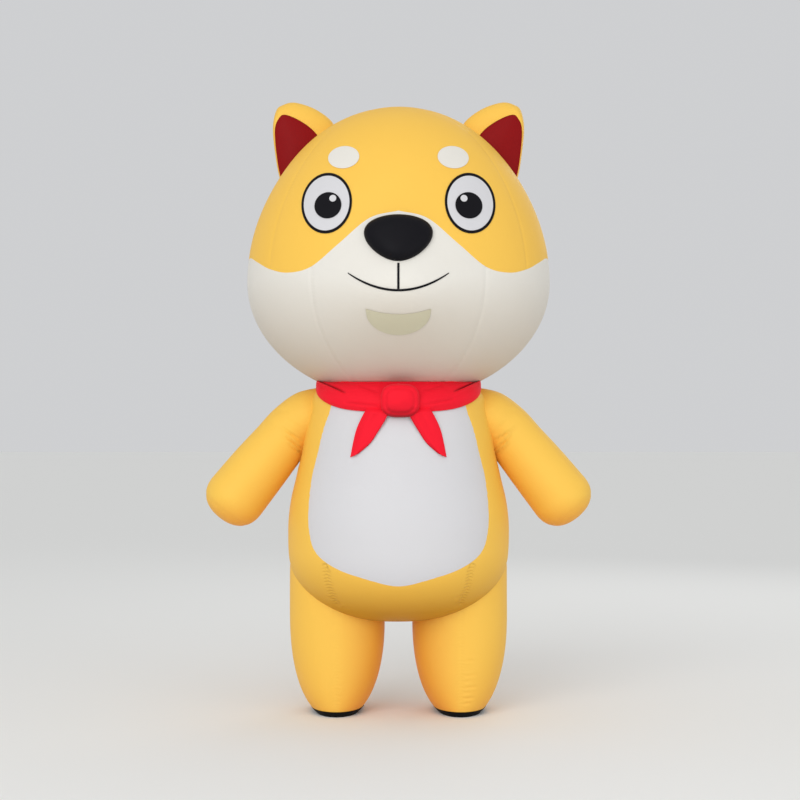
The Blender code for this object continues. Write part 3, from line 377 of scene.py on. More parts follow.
# Seams: every line where two pieces are sewn, with the groove and puckers that its thread pulls
# Depth and width of the valley, height and spacing of the puckers, how faint the sewn line is, pull of its thread
seamKinds = {
    "gore": (0.0016, 0.010, 0.0002, 0.026, 0.0016, 0.05),
    "mask": (0.0010, 0.008, 0.0001, 0.030, 0.0021, 0.03),
    "body": (0.0022, 0.010, 0.0006, 0.022, 0.0014, 0.60),
    "low": (0.0016, 0.009, 0.0006, 0.022, 0.0021, 1.1),
    "hip": (0.0010, 0.014, 0.0005, 0.034, 0.0022, 0.06),
    "limb": (0.0010, 0.010, 0.0002, 0.023, 0.0023, 0.16),
    "belly": (0.0010, 0.009, 0.0001, 0.024, 0.0024, 0.03),
    "ear": (0.0018, 0.009, 0.0003, 0.024, 0.0020, 0.12),
}
seamPoints = []
seamRuns = []
seamLooks = []
seamEnds = []


def resampled(points, step=0.004):
    lengths = np.concatenate(([0], np.cumsum(np.linalg.norm(np.diff(points, axis=0), axis=1))))
    places = np.linspace(0, lengths[-1], max(int(lengths[-1] / step), 2) + 1)
    return np.stack([np.interp(places, lengths, points[:, axis]) for axis in range(3)], axis=-1), places


def addSeam(points, kind, both=False):
    for side in (1, -1) if both else (1,):
        line, runs = resampled(points * (side, 1, 1))
        start = len(seamPoints)
        seamPoints.extend(line)
        seamRuns.extend(runs + 3.7 * len(seamEnds))
        seamLooks.extend([seamKinds[kind]] * len(line))
        seamEnds.append((start, start + len(line) - 1))


def layOutSeams():
    share = np.linspace(0, 1, 300)
    for azimuth, low, high, kind, both in (
        (head["muzzleSeam"], neckRise, maskRise, "gore", True),
        (head["cheekSeam"], neckRise, maskRise, "gore", True),
        (head["crownSeam"], maskRise, topRise, "gore", True),
        (head["backSeam"], neckRise, topRise, "gore", True),
        (180.0, neckRise, topRise, "gore", False),
    ):
        column = np.full(len(share), float(azimuth))
        addSeam(headPoint(column, low(column) + share * (high(column) - low(column))), kind, both)
    azimuths = np.linspace(-head["backSeam"], head["backSeam"], 400)
    addSeam(headPoint(azimuths, maskRise(azimuths)), "mask")
    round360 = np.linspace(0, 360, 400)
    addSeam(headPoint(round360, neckRise(round360)), "hip")
    runs = np.concatenate((np.linspace(torso["gussetRun"], 0, 150), np.linspace(0.004, neckRun, 150)))
    for azimuth, both in ((torso["sideSeam"], True), (180.0, False)):
        addSeam(torsoPoint(np.full(len(runs), float(azimuth)), runs), "body", both)
    lowRuns = np.linspace(*torso["lowSeamRuns"], 120)
    addSeam(torsoPoint(np.full(len(lowRuns), float(torso["lowSeam"])), lowRuns), "low", True)
    addSeam(torsoPoint(round360, np.full(400, torso["gussetRun"])), "body")
    outline = bellyOutline()
    outline = outline[outline[:, 1] < head["neckZ"] - 0.01]
    low = np.clip((torso["wideZ"] - outline[:, 1]) / torso["drop"], 0, 1)
    angle = np.degrees(np.arcsin(low ** (torso["fullness"] / 2)))
    run = np.where(outline[:, 1] < torso["wideZ"], -angle, outline[:, 1] - torso["wideZ"])
    azimuth = np.degrees(np.arcsin(np.clip(outline[:, 0] / torsoWidth(outline[:, 1]), -1, 1)))
    addSeam(torsoPoint(azimuth, run), "belly")
    addSeam(legPoint(round360, legTop(round360)), "hip", True)
    for azimuth in (0.0, 180.0):
        column = np.full(200, azimuth)
        top = legTop(column[:1])[0]
        addSeam(legPoint(column, np.linspace(leg["soleTop"], top, 200)), "limb", True)
    addSeam(armPoint(round360, armStart(round360)), "hip", True)
    for turn in (0.0, 180.0):
        column = np.full(200, turn)
        start = armStart(column[:1])[0]
        addSeam(armPoint(column, np.linspace(start, 1 + arm["capAngle"] / 90, 200)), "limb", True)
    addSeam(armPoint(round360, np.full(400, 1 + arm["capAngle"] / 90)), "limb", True)
    turns = np.linspace(0, 1, 300)
    addSeam(earPoint(turns, np.ones(300)), "ear", True)


# Creases: soft troughs (negative) and ridges (positive), each with its own ends, depth and width
creaseLines = []


def addCrease(surface, start, end, depth, width, bend=0.0, sides=(1, -1)):
    share = np.linspace(0, 1, 14)
    u = start[0] + (end[0] - start[0]) * share
    v = start[1] + (end[1] - start[1]) * share + bend * np.sin(np.pi * share)
    points = surface(u, v)
    for side in sides:
        creaseLines.append((points * (side, 1, 1), share, depth, width))


def creaseRelief(points):
    relief = np.zeros(len(points))
    for line, share, depth, width in creaseLines:
        near = np.all((points > line.min(0) - 4 * width) & (points < line.max(0) + 4 * width), axis=1)
        if not near.any():
            continue
        spot = points[near]
        best = np.full(len(spot), 9.0)
        at = np.zeros(len(spot))
        for index in range(len(line) - 1):
            way = line[index + 1] - line[index]
            along = np.clip(((spot - line[index]) @ way) / max(way @ way, 1e-12), 0, 1)
            gap = np.linalg.norm(spot - line[index] - along[:, None] * way, axis=1)
            closer = gap < best
            best = np.where(closer, gap, best)
            at = np.where(closer, share[index] + along * (share[index + 1] - share[index]), at)
        fade = np.sin(np.pi * np.clip(at, 0.02, 0.98)) ** 0.8
        groove = np.exp(-((best / width) ** 2)) - 0.35 * np.exp(-(((best - 1.8 * width) / width) ** 2))
        relief[near] += depth * fade * groove
    return relief


def reliefAt(points):
    # At points on the form: the cloth's offset, the distance to the nearest seam, the run along it, its pull
    line = np.array(seamPoints)
    runs = np.array(seamRuns)
    looks = np.array(seamLooks)
    nearest = np.array([seamTree.find(point)[1] for point in points])
    distance = np.linalg.norm(points - line[nearest], axis=1)
    run = runs[nearest].copy()
    for shift in (-1, 1):
        other = np.clip(nearest + shift, 0, len(line) - 1)
        joined = np.abs(runs[other] - runs[nearest]) < 0.01
        way = line[other] - line[nearest]
        away = points - line[nearest]
        along = np.clip(np.sum(away * way, axis=1) / np.maximum(np.sum(way * way, axis=1), 1e-12), 0, 1)
        gap = np.linalg.norm(away - along[:, None] * way, axis=1)
        closer = joined & (gap < distance)
        distance = np.where(closer, gap, distance)
        run = np.where(closer, runs[nearest] + along * (runs[other] - runs[nearest]), run)
    valley, width, pucker, spacing, faint, pull = looks[nearest].T
    turn = 2 * np.pi * run / spacing
    wave = np.sin(turn + 1.4 * np.sin(turn / 5.3)) * (0.6 + 0.4 * np.sin(turn / 3.7 + 1.0))
    relief = -valley * (np.exp(-((distance / width) ** 2)) + 0.4 * np.exp(-((distance / (4 * width)) ** 2)))
    flatThread = 1 - 0.9 * np.exp(-((distance / 0.007) ** 2))
    relief += pucker * wave * np.exp(-((distance / (2.4 * width)) ** 2)) * flatThread
    # Slow unevenness of the whole skin
    x, y, z = points.T
    relief += 0.0007 * np.sin(9.1 * x + 5.3 * z + 1.7 * np.sin(6.1 * y)) * np.sin(7.7 * z - 4.1 * y + 0.9)
    return relief + creaseRelief(points), distance + faint, run, pull


# Meshes: a grid on a surface, with the cloth's own coordinates in metres for the weave
def gridLengths(points, axis):
    steps = np.linalg.norm(np.diff(points, axis=axis), axis=-1)
    pad = [(0, 0), (0, 0)]
    pad[axis] = (1, 0)
    return np.cumsum(np.pad(steps, pad), axis=axis)


def paintedLightAt(points, normals, paintedUnderShade=False):
    # Painted light by where a face points: 0 facing forward or up, up to 1 facing down, inward low down or backward,
    # where a deeper orange glow of light through the cloth is painted; below 0 on lined pieces, where shade is painted
    # on faces pointing down
    if paintedUnderShade:
        return -np.clip(-normals[:, 2] * 1.25 - 0.05, 0, 1)
    down = np.clip(-normals[:, 2] * 0.9 + 0.05, 0, 1)
    inward = np.clip(-normals[:, 0] * np.sign(points[:, 0]), 0, 1) * (points[:, 2] < 0.62)
    rear = np.clip(normals[:, 1] + 0.1, 0, 1) * 0.35
    return np.clip(down + 0.7 * inward + rear, 0, 1)


def clipped(data, faces, field):
    keepAll = (field[faces] > 0).all(axis=1)
    mixed = (field[faces] > 0).any(axis=1) & ~keepAll
    kept = [list(face) for face in faces[keepAll]]
    extra = []
    made = {}
    for face in faces[mixed]:
        ring = []
        for place, here in enumerate(face):
            there = face[(place + 1) % len(face)]
            if field[here] > 0:
                ring.append(int(here))
            if (field[here] > 0) != (field[there] > 0):
                key = (min(here, there), max(here, there))
                if key not in made:
                    share = field[here] / (field[here] - field[there])
                    made[key] = len(data) + len(extra)
                    extra.append(data[here] + share * (data[there] - data[here]))
                ring.append(made[key])
        if len(set(ring)) > 2:
            kept.append(ring)
    data = np.vstack([data, extra]) if extra else data
    used = np.unique(np.concatenate([np.array(face) for face in kept]))
    renumber = np.zeros(len(data), int)
    renumber[used] = np.arange(len(used))
    return data[used], [[int(renumber[corner]) for corner in face] for face in kept]


def gridFaces(rows, columns, wraps):
    here = np.arange(columns if wraps else columns - 1)
    there = (here + 1) % columns
    lower = np.arange(rows - 1)[:, None] * columns
    return np.stack(
        (lower + here, lower + there, lower + columns + there, lower + columns + here), axis=-1
    ).reshape(-1, 4)


pieceSizes = {}


def clothCoordinates(points, polar):
    # The cut's own grain in metres, along the grid or out from the middle of a round piece
    u = gridLengths(points, 1)
    u = u - u[:, u.shape[1] // 2][:, None]
    v = gridLengths(points, 0)
    if polar:
        reach = v[-1] - v
        angle = np.linspace(0, 2 * np.pi, points.shape[1], endpoint=False)
        u, v = reach * np.cos(angle), reach * np.sin(angle)
    return u.ravel(), v.ravel()


def makePiece(name, data, faces, flip, material, thickness=None, held="stretched", restsOn=(), allowance=None):
    # data columns: x, y, z, seam distance, seam run, painted light and shade, cloth u, cloth v, thread pull
    mesh = bpy.data.meshes.new(name + "_cloth")
    corners = data[:, :3] + np.array((0.0, axisY, 0.0))
    if flip:
        faces = [list(face)[::-1] for face in faces]
    mesh.from_pydata(corners.tolist(), [], [list(map(int, face)) for face in faces])
    for column, label in ((3, "seamDistance"), (4, "seamRun"), (5, "paintedLight"), (8, "threadPull")):
        attribute = mesh.attributes.new(label, "FLOAT", "POINT")
        attribute.data.foreach_set("value", data[:, column].astype(np.float32))
    uvLayer = mesh.uv_layers.new(name="cloth")
    loops = np.zeros(len(mesh.loops), np.int32)
    mesh.loops.foreach_get("vertex_index", loops)
    uvLayer.data.foreach_set("uv", data[loops, 6:8].astype(np.float32).ravel())
    mesh.validate()
    work = bpy.data.objects.new(name + "_cloth", mesh)
    bpy.context.scene.collection.objects.link(work)
    work.modifiers.new("join", "WELD").merge_threshold = cloth["weld"]
    shell = work.modifiers.new("cloth", "SOLIDIFY")
    shell.thickness = thickness or cloth["thickness"]
    shell.offset = -1
    bpy.context.view_layer.update()
    solid = bpy.data.meshes.new_from_object(work.evaluated_get(bpy.context.evaluated_depsgraph_get()))
    work.modifiers.clear()
    work.data = solid
    solid.shade_smooth()
    solid.set_sharp_from_angle(angle=math.radians(cloth["sharpAngle"]))
    solid.materials.clear()
    solid.materials.append(material)
    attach(work, "costume")
    # The cut: the piece's spread along and across its grain, with the seam allowance
    spare = cloth["allowance"] if allowance is None else allowance
    span = np.ptp(data[:, 6:8], axis=0) + 2 * spare
    triangles = [(face[0], face[i], face[i + 1]) for face in faces for i in range(1, len(face) - 1)]
    a, b, c = (data[np.array(triangles)[:, k], :3] for k in range(3))
    area = np.linalg.norm(np.cross(b - a, c - a), axis=1).sum() / 2
    area = float(np.clip(area + span.sum() * 2 * spare, 0.31 * span.prod(), span.prod()))
    pieceSizes[name] = (float(span[0]), float(span[1]), area)
    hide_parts(name)


# A piece on one of the forms; columns and rows are a grid of the form's two parameters, and a closed one
# goes all round to a middle point
def panel(name, surface, columns, rows, material, side=1, closed=False, field=None, under=None, outward=None,
          paintedUnderShade=False):
    points = surface(columns, rows)
    normals, size = normalsOf(surface, columns, rows)
    flip = side < 0
    if outward is not None:
        away = np.sum(normals * (points - outward), axis=-1) < 0
        normals = np.where(away[..., None], -normals, normals)
        flip = flip != (np.mean(away) > 0.5)
    small = size < 1e-12
    if small.any():
        normals[small] = np.mean(normals[~small].reshape(-1, 3)[-columns.shape[1]:], axis=0)
        normals[small] /= np.maximum(np.linalg.norm(normals[small], axis=-1, keepdims=True), 1e-9)
    spots = points.reshape(-1, 3) * (side, 1, 1)
    out = normals.reshape(-1, 3) * (side, 1, 1)
    relief, distance, run, pull = reliefAt(spots)
    if under is not None:
        relief = relief - under(spots)
    data = np.column_stack((
        spots + relief[:, None] * out, distance, run, paintedLightAt(spots, out, paintedUnderShade),
        *clothCoordinates(points, closed), pull,
    ))
    faces = gridFaces(*columns.shape, closed)
    if field is not None:
        data, faces = clipped(data, faces, field(spots))
    makePiece(name, data, faces, flip, material)


# A piece made from its own rows or rings of points; heart is a place on its inner side
def freePiece(name, points, material, side=1, wraps=False, heart=None, seam=None, **more):
    spots = points * (side, 1, 1)
    u, v = clothCoordinates(points, wraps and np.ptp(points[-1], axis=0).max() < 1e-6)
    across = np.roll(spots, -1, axis=1) - np.roll(spots, 1, axis=1) if wraps else np.gradient(spots, axis=1)
    normal = np.cross(across, np.gradient(spots, axis=0))
    normal = normal / np.maximum(np.linalg.norm(normal, axis=-1, keepdims=True), 1e-12)
    flat = spots.reshape(-1, 3)
    flip = np.sum(normal * (spots - (np.mean(flat, axis=0) if heart is None else np.array(heart)))) < 0
    far = np.full(len(flat), noSeam) if seam is None else seam.ravel()
    # Painted shade: faces pointing down get up to 0.8 of the deep colour
    paintedLight = np.clip(-normal.reshape(-1, 3)[:, 2] * (-1 if flip else 1), 0, 1) * 0.8
    data = np.column_stack((flat, far, v, paintedLight, u, v, far * 0))
    makePiece(name, data, gridFaces(*points.shape[:2], wraps), flip, material, **more)


def gridBetween(columns, low, high, count, amount=None):
    share = crowded(0, 1, count, amount)[:, None]
    lower, upper = low(columns), high(columns)
    rows = lower + share * (upper - lower)
    return np.broadcast_to(columns, rows.shape).copy(), rows


single = ((1, ""),)
sides = ((1, "_L"), (-1, "_R"))


# Colours are sRGB hex values, turned linear here
def hexToLinear(text):
    channels = [int(text[place:place + 2], 16) / 255 for place in (1, 3, 5)]
    return tuple(c / 12.92 if c <= 0.04045 else ((c + 0.055) / 1.055) ** 2.4 for c in channels) + (1.0,)


# Adds a node with its settings and links; a link comes from a socket, or from a node's first output
def addNode(tree, kind, settings=None, links=None):
    node = tree.nodes.new("ShaderNode" + kind)
    for key, value in (settings or {}).items():
        if isinstance(key, str) and hasattr(node, key):
            setattr(node, key, value)
        else:
            node.inputs[key].default_value = value
    for key, source in (links or {}).items():
        tree.links.new(getattr(source, "outputs", [source])[0], node.inputs[key])
    return node


def newMaterial(name, settings):
    material = bpy.data.materials.new(name)
    material.use_nodes = True
    tree = material.node_tree
    tree.nodes.clear()
    shader = addNode(tree, "BsdfPrincipled", settings)
    addNode(tree, "OutputMaterial", links={"Surface": shader})
    return material, tree, shader


# Woven cloth, coated unless its look says otherwise. The threads run along the cut's own grain and break up
# the light, so the air-filled cloth looks satin and never wet; each seam carries its sewn line and puckers
coated = {"roughness": 0.52, "sheen": 0.0, "specular": 0.2, "thread": 0.003, "weave": 0.12, "line": 0.55}
finePuckers = {"spacing": 0.014, "slant": 0.055, "reach": 0.032, "full": 0.010}
sewnLine = {"outer": 0.0026, "inner": 0.0006}


def wovenCloth(name, ownLook):
    look = {**coated, **ownLook}
    material, tree, shader = newMaterial(name, {
        "Roughness": look["roughness"], "IOR": 1.5, "Sheen Weight": look["sheen"], "Sheen Roughness": 0.4,
        "Specular IOR Level": look["specular"],
    })
    uv = addNode(tree, "UVMap", {"uv_map": "cloth"})
    place = addNode(tree, "TexCoord").outputs["Object"]
    gap, run, paintedLight, pull = (
        addNode(tree, "Attribute", {"attribute_name": label}).outputs["Fac"]
        for label in ("seamDistance", "seamRun", "paintedLight", "threadPull")
    )
    # Blender's wave has one band in 0.63 of "thread" here
    warp, weft = (
        addNode(tree, "TexWave", {
            "bands_direction": direction, "Scale": 0.5 / look["thread"], "Distortion": 0.4, "Detail": 1.0,
        }, {"Vector": uv}).outputs["Fac"]
        for direction in ("X", "Y")
    )
    weave = addNode(tree, "Math", {"operation": "MULTIPLY"}, {0: warp, 1: weft})
    slub = addNode(tree, "TexNoise", {"Scale": 3.2, "Detail": 3.0}, {"Vector": place}).outputs["Fac"]
    ripple = addNode(tree, "TexNoise", {
        "Scale": 16.0, "Detail": 2.0, "Distortion": 0.8,
    }, {"Vector": place}).outputs["Fac"]
    # Fine slanted puckers beside the seam, as strong as its thread pulls, that die out away from it
    slant = addNode(tree, "Math", {"operation": "MULTIPLY", 1: 2 * math.pi / finePuckers["slant"]}, {0: gap})
    turn = addNode(tree, "Math", {
        "operation": "MULTIPLY_ADD", 1: 2 * math.pi / finePuckers["spacing"],
    }, {0: run, 2: slant})
    shake = addNode(tree, "Math", {"operation": "MULTIPLY_ADD", 1: 4.0}, {0: ripple, 2: turn})
    wave = addNode(tree, "Math", {"operation": "SINE"}, {0: shake})
    near = addNode(tree, "MapRange", {
        "interpolation_type": "SMOOTHSTEP", "From Min": finePuckers["reach"], "From Max": finePuckers["full"],
        "To Min": 0.0, "To Max": 1.0,
    }, {"Value": gap})
    pulled = addNode(tree, "Math", {"operation": "MULTIPLY"}, {0: near, 1: pull})
    gathered = addNode(tree, "Math", {"operation": "MULTIPLY"}, {0: wave, 1: pulled})
    # The sewn line itself, darker than the cloth beside it
    line = addNode(tree, "MapRange", {
        "interpolation_type": "SMOOTHSTEP", "From Min": sewnLine["outer"], "From Max": sewnLine["inner"],
        "To Min": 0.0, "To Max": look["line"],
    }, {"Value": gap})
    # Colour: deeper where a glow of light through the cloth is painted, darker where shade is painted under lined
    # pieces, mottled by slubs
    colours = {key: hexToLinear(look.get(key, look[other])) for key, other in (
        ("colour", "colour"), ("deep", "deep"), ("paintedUnderShade", "colour"), ("slub", "deep"), ("threadColour", "deep"),
    )}
    tint = addNode(tree, "Mix", {"data_type": "RGBA", 6: colours["colour"], 7: colours["deep"]}, {0: paintedLight})
    paintedUnderShadeShare = addNode(tree, "Math", {"operation": "MULTIPLY", 1: -1.0}, {0: paintedLight})
    faint = addNode(tree, "Math", {"operation": "MULTIPLY", 1: 0.16}, {0: slub})
    for key, share in (("paintedUnderShade", paintedUnderShadeShare), ("slub", faint), ("threadColour", line)):
        tint = addNode(tree, "Mix", {"data_type": "RGBA", 7: colours[key]}, {0: share, 6: tint.outputs[2]})
    soft = addNode(tree, "MapRange", {
        "To Min": look["roughness"] - 0.05, "To Max": look["roughness"] + 0.08,
    }, {"Value": slub})
    bump = addNode(tree, "Bump", {"Strength": look["weave"], "Distance": 0.0006}, {"Height": weave})
    for strength, height in ((0.6, gathered), (0.35, ripple)):
        bump = addNode(tree, "Bump", {"Strength": strength, "Distance": 0.0022}, {"Height": height, "Normal": bump})
    for socket, source in (("Base Color", tint.outputs[2]), ("Roughness", soft), ("Normal", bump)):
        tree.links.new(getattr(source, "outputs", [source])[0], shader.inputs[socket])
    return material


# Real threads are about 0.2 mm apart, too fine to show, so they are drawn about 2 mm apart
# Each look's deep colour, and its colour for lined pieces, is painted light and shade, laid on by where the faces point
# and in the neckerchief's tucks
materials = {
    # The coating fills the weave: an even, warm satin; a deeper orange is painted as a glow of light through the cloth
    # where its faces point down, inward or back, and a darker yellow as shade under the lined torso
    "yellow_cloth": wovenCloth("yellow coated polyester taffeta, woven", {
        "colour": "#f9c855", "deep": "#f4a53e", "paintedUnderShade": "#c78f28", "slub": "#f0ae42", "threadColour": "#d39a35",
        "line": 0.40,
    }),
    # The same cloth undyed: chalky in the light, with beige shade painted underneath
    "cream_cloth": wovenCloth("cream coated polyester taffeta, woven", {
        "colour": "#e8e5dd", "deep": "#c9bcab", "threadColour": "#cdc8bd", "line": 0.35,
    }),
    # Bleached: a cool white with soft grey shade painted underneath and no shine
    "white_cloth": wovenCloth("white coated polyester taffeta, woven", {
        "colour": "#d6d5d7", "deep": "#cfd0d6", "paintedUnderShade": "#c6c6cd", "threadColour": "#c6c4c2", "line": 0.35,
    }),
    # Dyed black: a dim broad highlight shows its swell
    "black_cloth": wovenCloth("black coated polyester, woven", {
        "colour": "#121116", "deep": "#0c0b0f", "threadColour": "#09080a", "roughness": 0.50, "specular": 0.10,
        "weave": 0.15,
    }),
    # A coarse basket weave under a thick coat: dull, with a grain that can be seen
    "sole_cloth": wovenCloth("black coated oxford cloth, woven", {
        "colour": "#101010", "deep": "#0a0a0a", "threadColour": "#0a0a0a", "roughness": 0.62, "specular": 0.10,
        "thread": 0.004, "weave": 0.30,
    }),
    # Uncoated: a soft, saturated red with a little fuzz at its edges; its deep colour is painted as shade in the tucks
    # and under the knot and tails
    "red_cloth": wovenCloth("red polyester plain weave", {
        "colour": "#f8162e", "deep": "#7d0814", "slub": "#d80f24", "threadColour": "#c01427", "roughness": 0.62,
        "sheen": 0.04, "specular": 0.15, "thread": 0.0035, "weave": 0.25, "line": 0.0,
    }),
    # The coated cloth again, dyed deep enough to stay dark in full light
    "dark_red_cloth": wovenCloth("dark red coated polyester taffeta, woven", {
        "colour": "#8c0c10", "deep": "#74090d", "threadColour": "#5e080b", "roughness": 0.50, "specular": 0.10,
        "weave": 0.15,
    }),
    # Knitted open to see through: matt, grainy and greyer than the cloth round it
    "window_mesh": wovenCloth("olive polyester mesh, knitted", {
        "colour": "#dad3b8", "deep": "#b9b298", "threadColour": "#8d876f", "roughness": 0.75, "sheen": 0.05,
        "thread": 0.005, "weave": 0.7,
    }),
    # Dense uncoated tape and nylon loops: a darker yellow line with a fine rib
    "zip_tape": wovenCloth("yellow polyester zip tape, woven", {
        "colour": "#e5ae45", "deep": "#c98c30", "threadColour": "#b17a26", "roughness": 0.60, "sheen": 0.15,
        "specular": 0.5, "thread": 0.002, "weave": 0.5, "line": 0.0,
    }),
}


# Zinc, die cast and plated: small bright highlights, dulled in patches by fine scuffs
def platedZinc():
    material, tree, shader = newMaterial("plated cast zinc", {
        "Base Color": hexToLinear("#c3c4c6"), "Metallic": 1.0, "Roughness": 0.28,
    })
    place = addNode(tree, "TexCoord").outputs["Object"]
    scuff = addNode(tree, "TexNoise", {"Scale": 420.0, "Detail": 4.0}, {"Vector": place}).outputs["Fac"]
    worn = addNode(tree, "MapRange", {"To Min": 0.20, "To Max": 0.42}, {"Value": scuff})
    dent = addNode(tree, "Bump", {"Strength": 0.15, "Distance": 0.0002}, {"Height": scuff})
    for socket, source in (("Roughness", worn), ("Normal", dent)):
        tree.links.new(source.outputs[0], shader.inputs[socket])
    return material


materials["zip_metal"] = platedZinc()
print("stage: materials made")

# Camera at the photo's angle: level, in front, with the floor's line of sight at the picture's middle
view = {"distance": 8.0, "height": 1.328, "x": 0.0064, "lens": 84.05}
camera = bpy.data.objects.new("camera", bpy.data.cameras.new("camera"))
bpy.context.scene.collection.objects.link(camera)
camera.location = (view["x"], axisY - view["distance"], view["height"])
camera.rotation_euler = (math.pi / 2, 0, 0)
camera.data.lens = view["lens"]
camera.data.sensor_width = 36
camera.data.clip_end = 100
bpy.context.scene.camera = camera
bpy.context.scene.view_settings.view_transform = "Standard"


def layOutCreases():
    # Armpit creases fan out from the shoulder seam; x and z of their ends in the front view
    for start, end, depth, width in (
        ((0.508, 1.220), (0.402, 1.152), -0.0056, 0.0050),
        ((0.486, 1.184), (0.402, 1.112), -0.0060, 0.0050),
        ((0.470, 1.148), (0.404, 1.090), -0.0046, 0.0050),
        ((0.500, 1.262), (0.410, 1.205), -0.0018, 0.0080),
    ):
        addCrease(armFront, start, end, depth, width)
    # The back of the arm has its own, a little weaker
    for start, end, depth, width in (
        ((262, 0.640), (226, 0.510), -0.0048, 0.009),
        ((238, 0.660), (206, 0.540), -0.0044, 0.008),
    ):
        addCrease(armPoint, start, end, depth, width)
    # Shoulder and hip: short pulls across the seams, uneven on purpose
    for start, end, depth, width, side in (
        ((30, 0.50), (64, 0.43), -0.0022, 0.010, 1),
        ((24, 0.51), (58, 0.44), -0.0026, 0.011, -1),
        ((-62, 0.50), (-34, 0.44), -0.0022, 0.011, 1),
        ((-68, 0.49), (-30, 0.43), -0.0018, 0.010, -1),
    ):
        addCrease(armPoint, start, end, depth, width, sides=(side,))
    for start, end, depth, width, side in (
        ((28, 0.53), (16, 0.40), -0.0009, 0.012, 1),
        ((-22, 0.50), (-8, 0.38), -0.0010, 0.013, 1),
        ((34, 0.54), (22, 0.42), -0.0011, 0.013, -1),
        ((-30, 0.49), (-14, 0.39), -0.0008, 0.012, -1),
        ((150, 0.55), (164, 0.42), -0.0030, 0.012, 1),
        ((204, 0.52), (192, 0.40), -0.0026, 0.011, 1),
        ((146, 0.54), (160, 0.41), -0.0026, 0.011, -1),
        ((208, 0.53), (196, 0.41), -0.0032, 0.012, -1),
    ):
        addCrease(legPoint, start, end, depth, width, sides=(side,))
    # Short level pulls beside the left leg's front seam, low down
    for height, reach, depth in (
        (0.058, 0.40, -0.0022), (0.080, 0.52, -0.0030), (0.104, 0.30, -0.0018), (0.126, 0.58, -0.0030),
        (0.152, 0.34, -0.0018), (0.176, 0.50, -0.0026), (0.238, 0.42, -0.0020),
    ):
        addCrease(legPoint, (2, height), (2 + 40 * reach, height + 0.004), depth, 0.0055, sides=(1,))
        addCrease(legPoint, (-2, height + 0.010), (-2 - 14 * reach, height + 0.012), 0.5 * depth, 0.0055,
                  sides=(-1,))
    # Pulls beside the low front seams
    for azimuth, run, tip, depth, side in (
        (36, -34, 0.9, -0.0026, 1), (44, -42, -1.4, -0.0028, 1), (37, -51, 1.2, -0.0024, 1),
        (44, -36, 1.6, -0.0026, -1), (36, -45, -1.0, -0.0028, -1), (43, -54, 1.0, -0.0024, -1),
    ):
        addCrease(torsoPoint, (azimuth - 3, run), (azimuth + 3, run + tip), depth, 0.008, sides=(side,))


layOutSeams()
layOutCreases()
seamTree = kdtree.KDTree(len(seamPoints))
for place, point in enumerate(seamPoints):
    seamTree.insert(point, place)
seamTree.balance()
print("stage: seams laid out,", len(seamEnds), "lines,", len(creaseLines), "creases")


def makeHead():
    yellow, cream = materials["yellow_cloth"], materials["cream_cloth"]
    crown, muzzle, cheek, back = (head[key] for key in ("crownSeam", "muzzleSeam", "cheekSeam", "backSeam"))
    widest = math.radians(1) * head["halfWidth"]
    for name, low, high, bottom, top, tall, material, where in (
        ("head_crown_front", -crown, crown, maskRise, topRise, 1.05, yellow, single),
        ("head_side", crown, back, maskRise, topRise, 1.15, yellow, sides),
        ("head_back", back, 180, neckRise, topRise, 1.45, yellow, sides),
        ("head_muzzle", -muzzle, muzzle, neckRise, maskRise, 0.80, cream, single),
        ("head_cheek", muzzle, cheek, neckRise, maskRise, 0.55, cream, sides),
        ("head_side_low", cheek, back, neckRise, maskRise, 0.50, cream, sides),
    ):
        columns = crowded(low, high, stepCount((high - low) * widest))
        if name == "head_back":
            # Its rows meet the corner where the mask ends
            lowRows, highRows = head["backRows"]
            corner = maskRise(np.array([float(back)]))[0]
            below = np.linspace(neckRise(np.array([180.0]))[0], corner, lowRows)
            grid = gridOf(columns, np.concatenate((below, crowded(corner, head["topRise"], highRows)[1:])))
        else:
            grid = gridBetween(columns, bottom, top, stepCount(tall))
        for side, label in where:
            panel(name + label, headPoint, *grid, material, side)
    print("stage: head sewn")


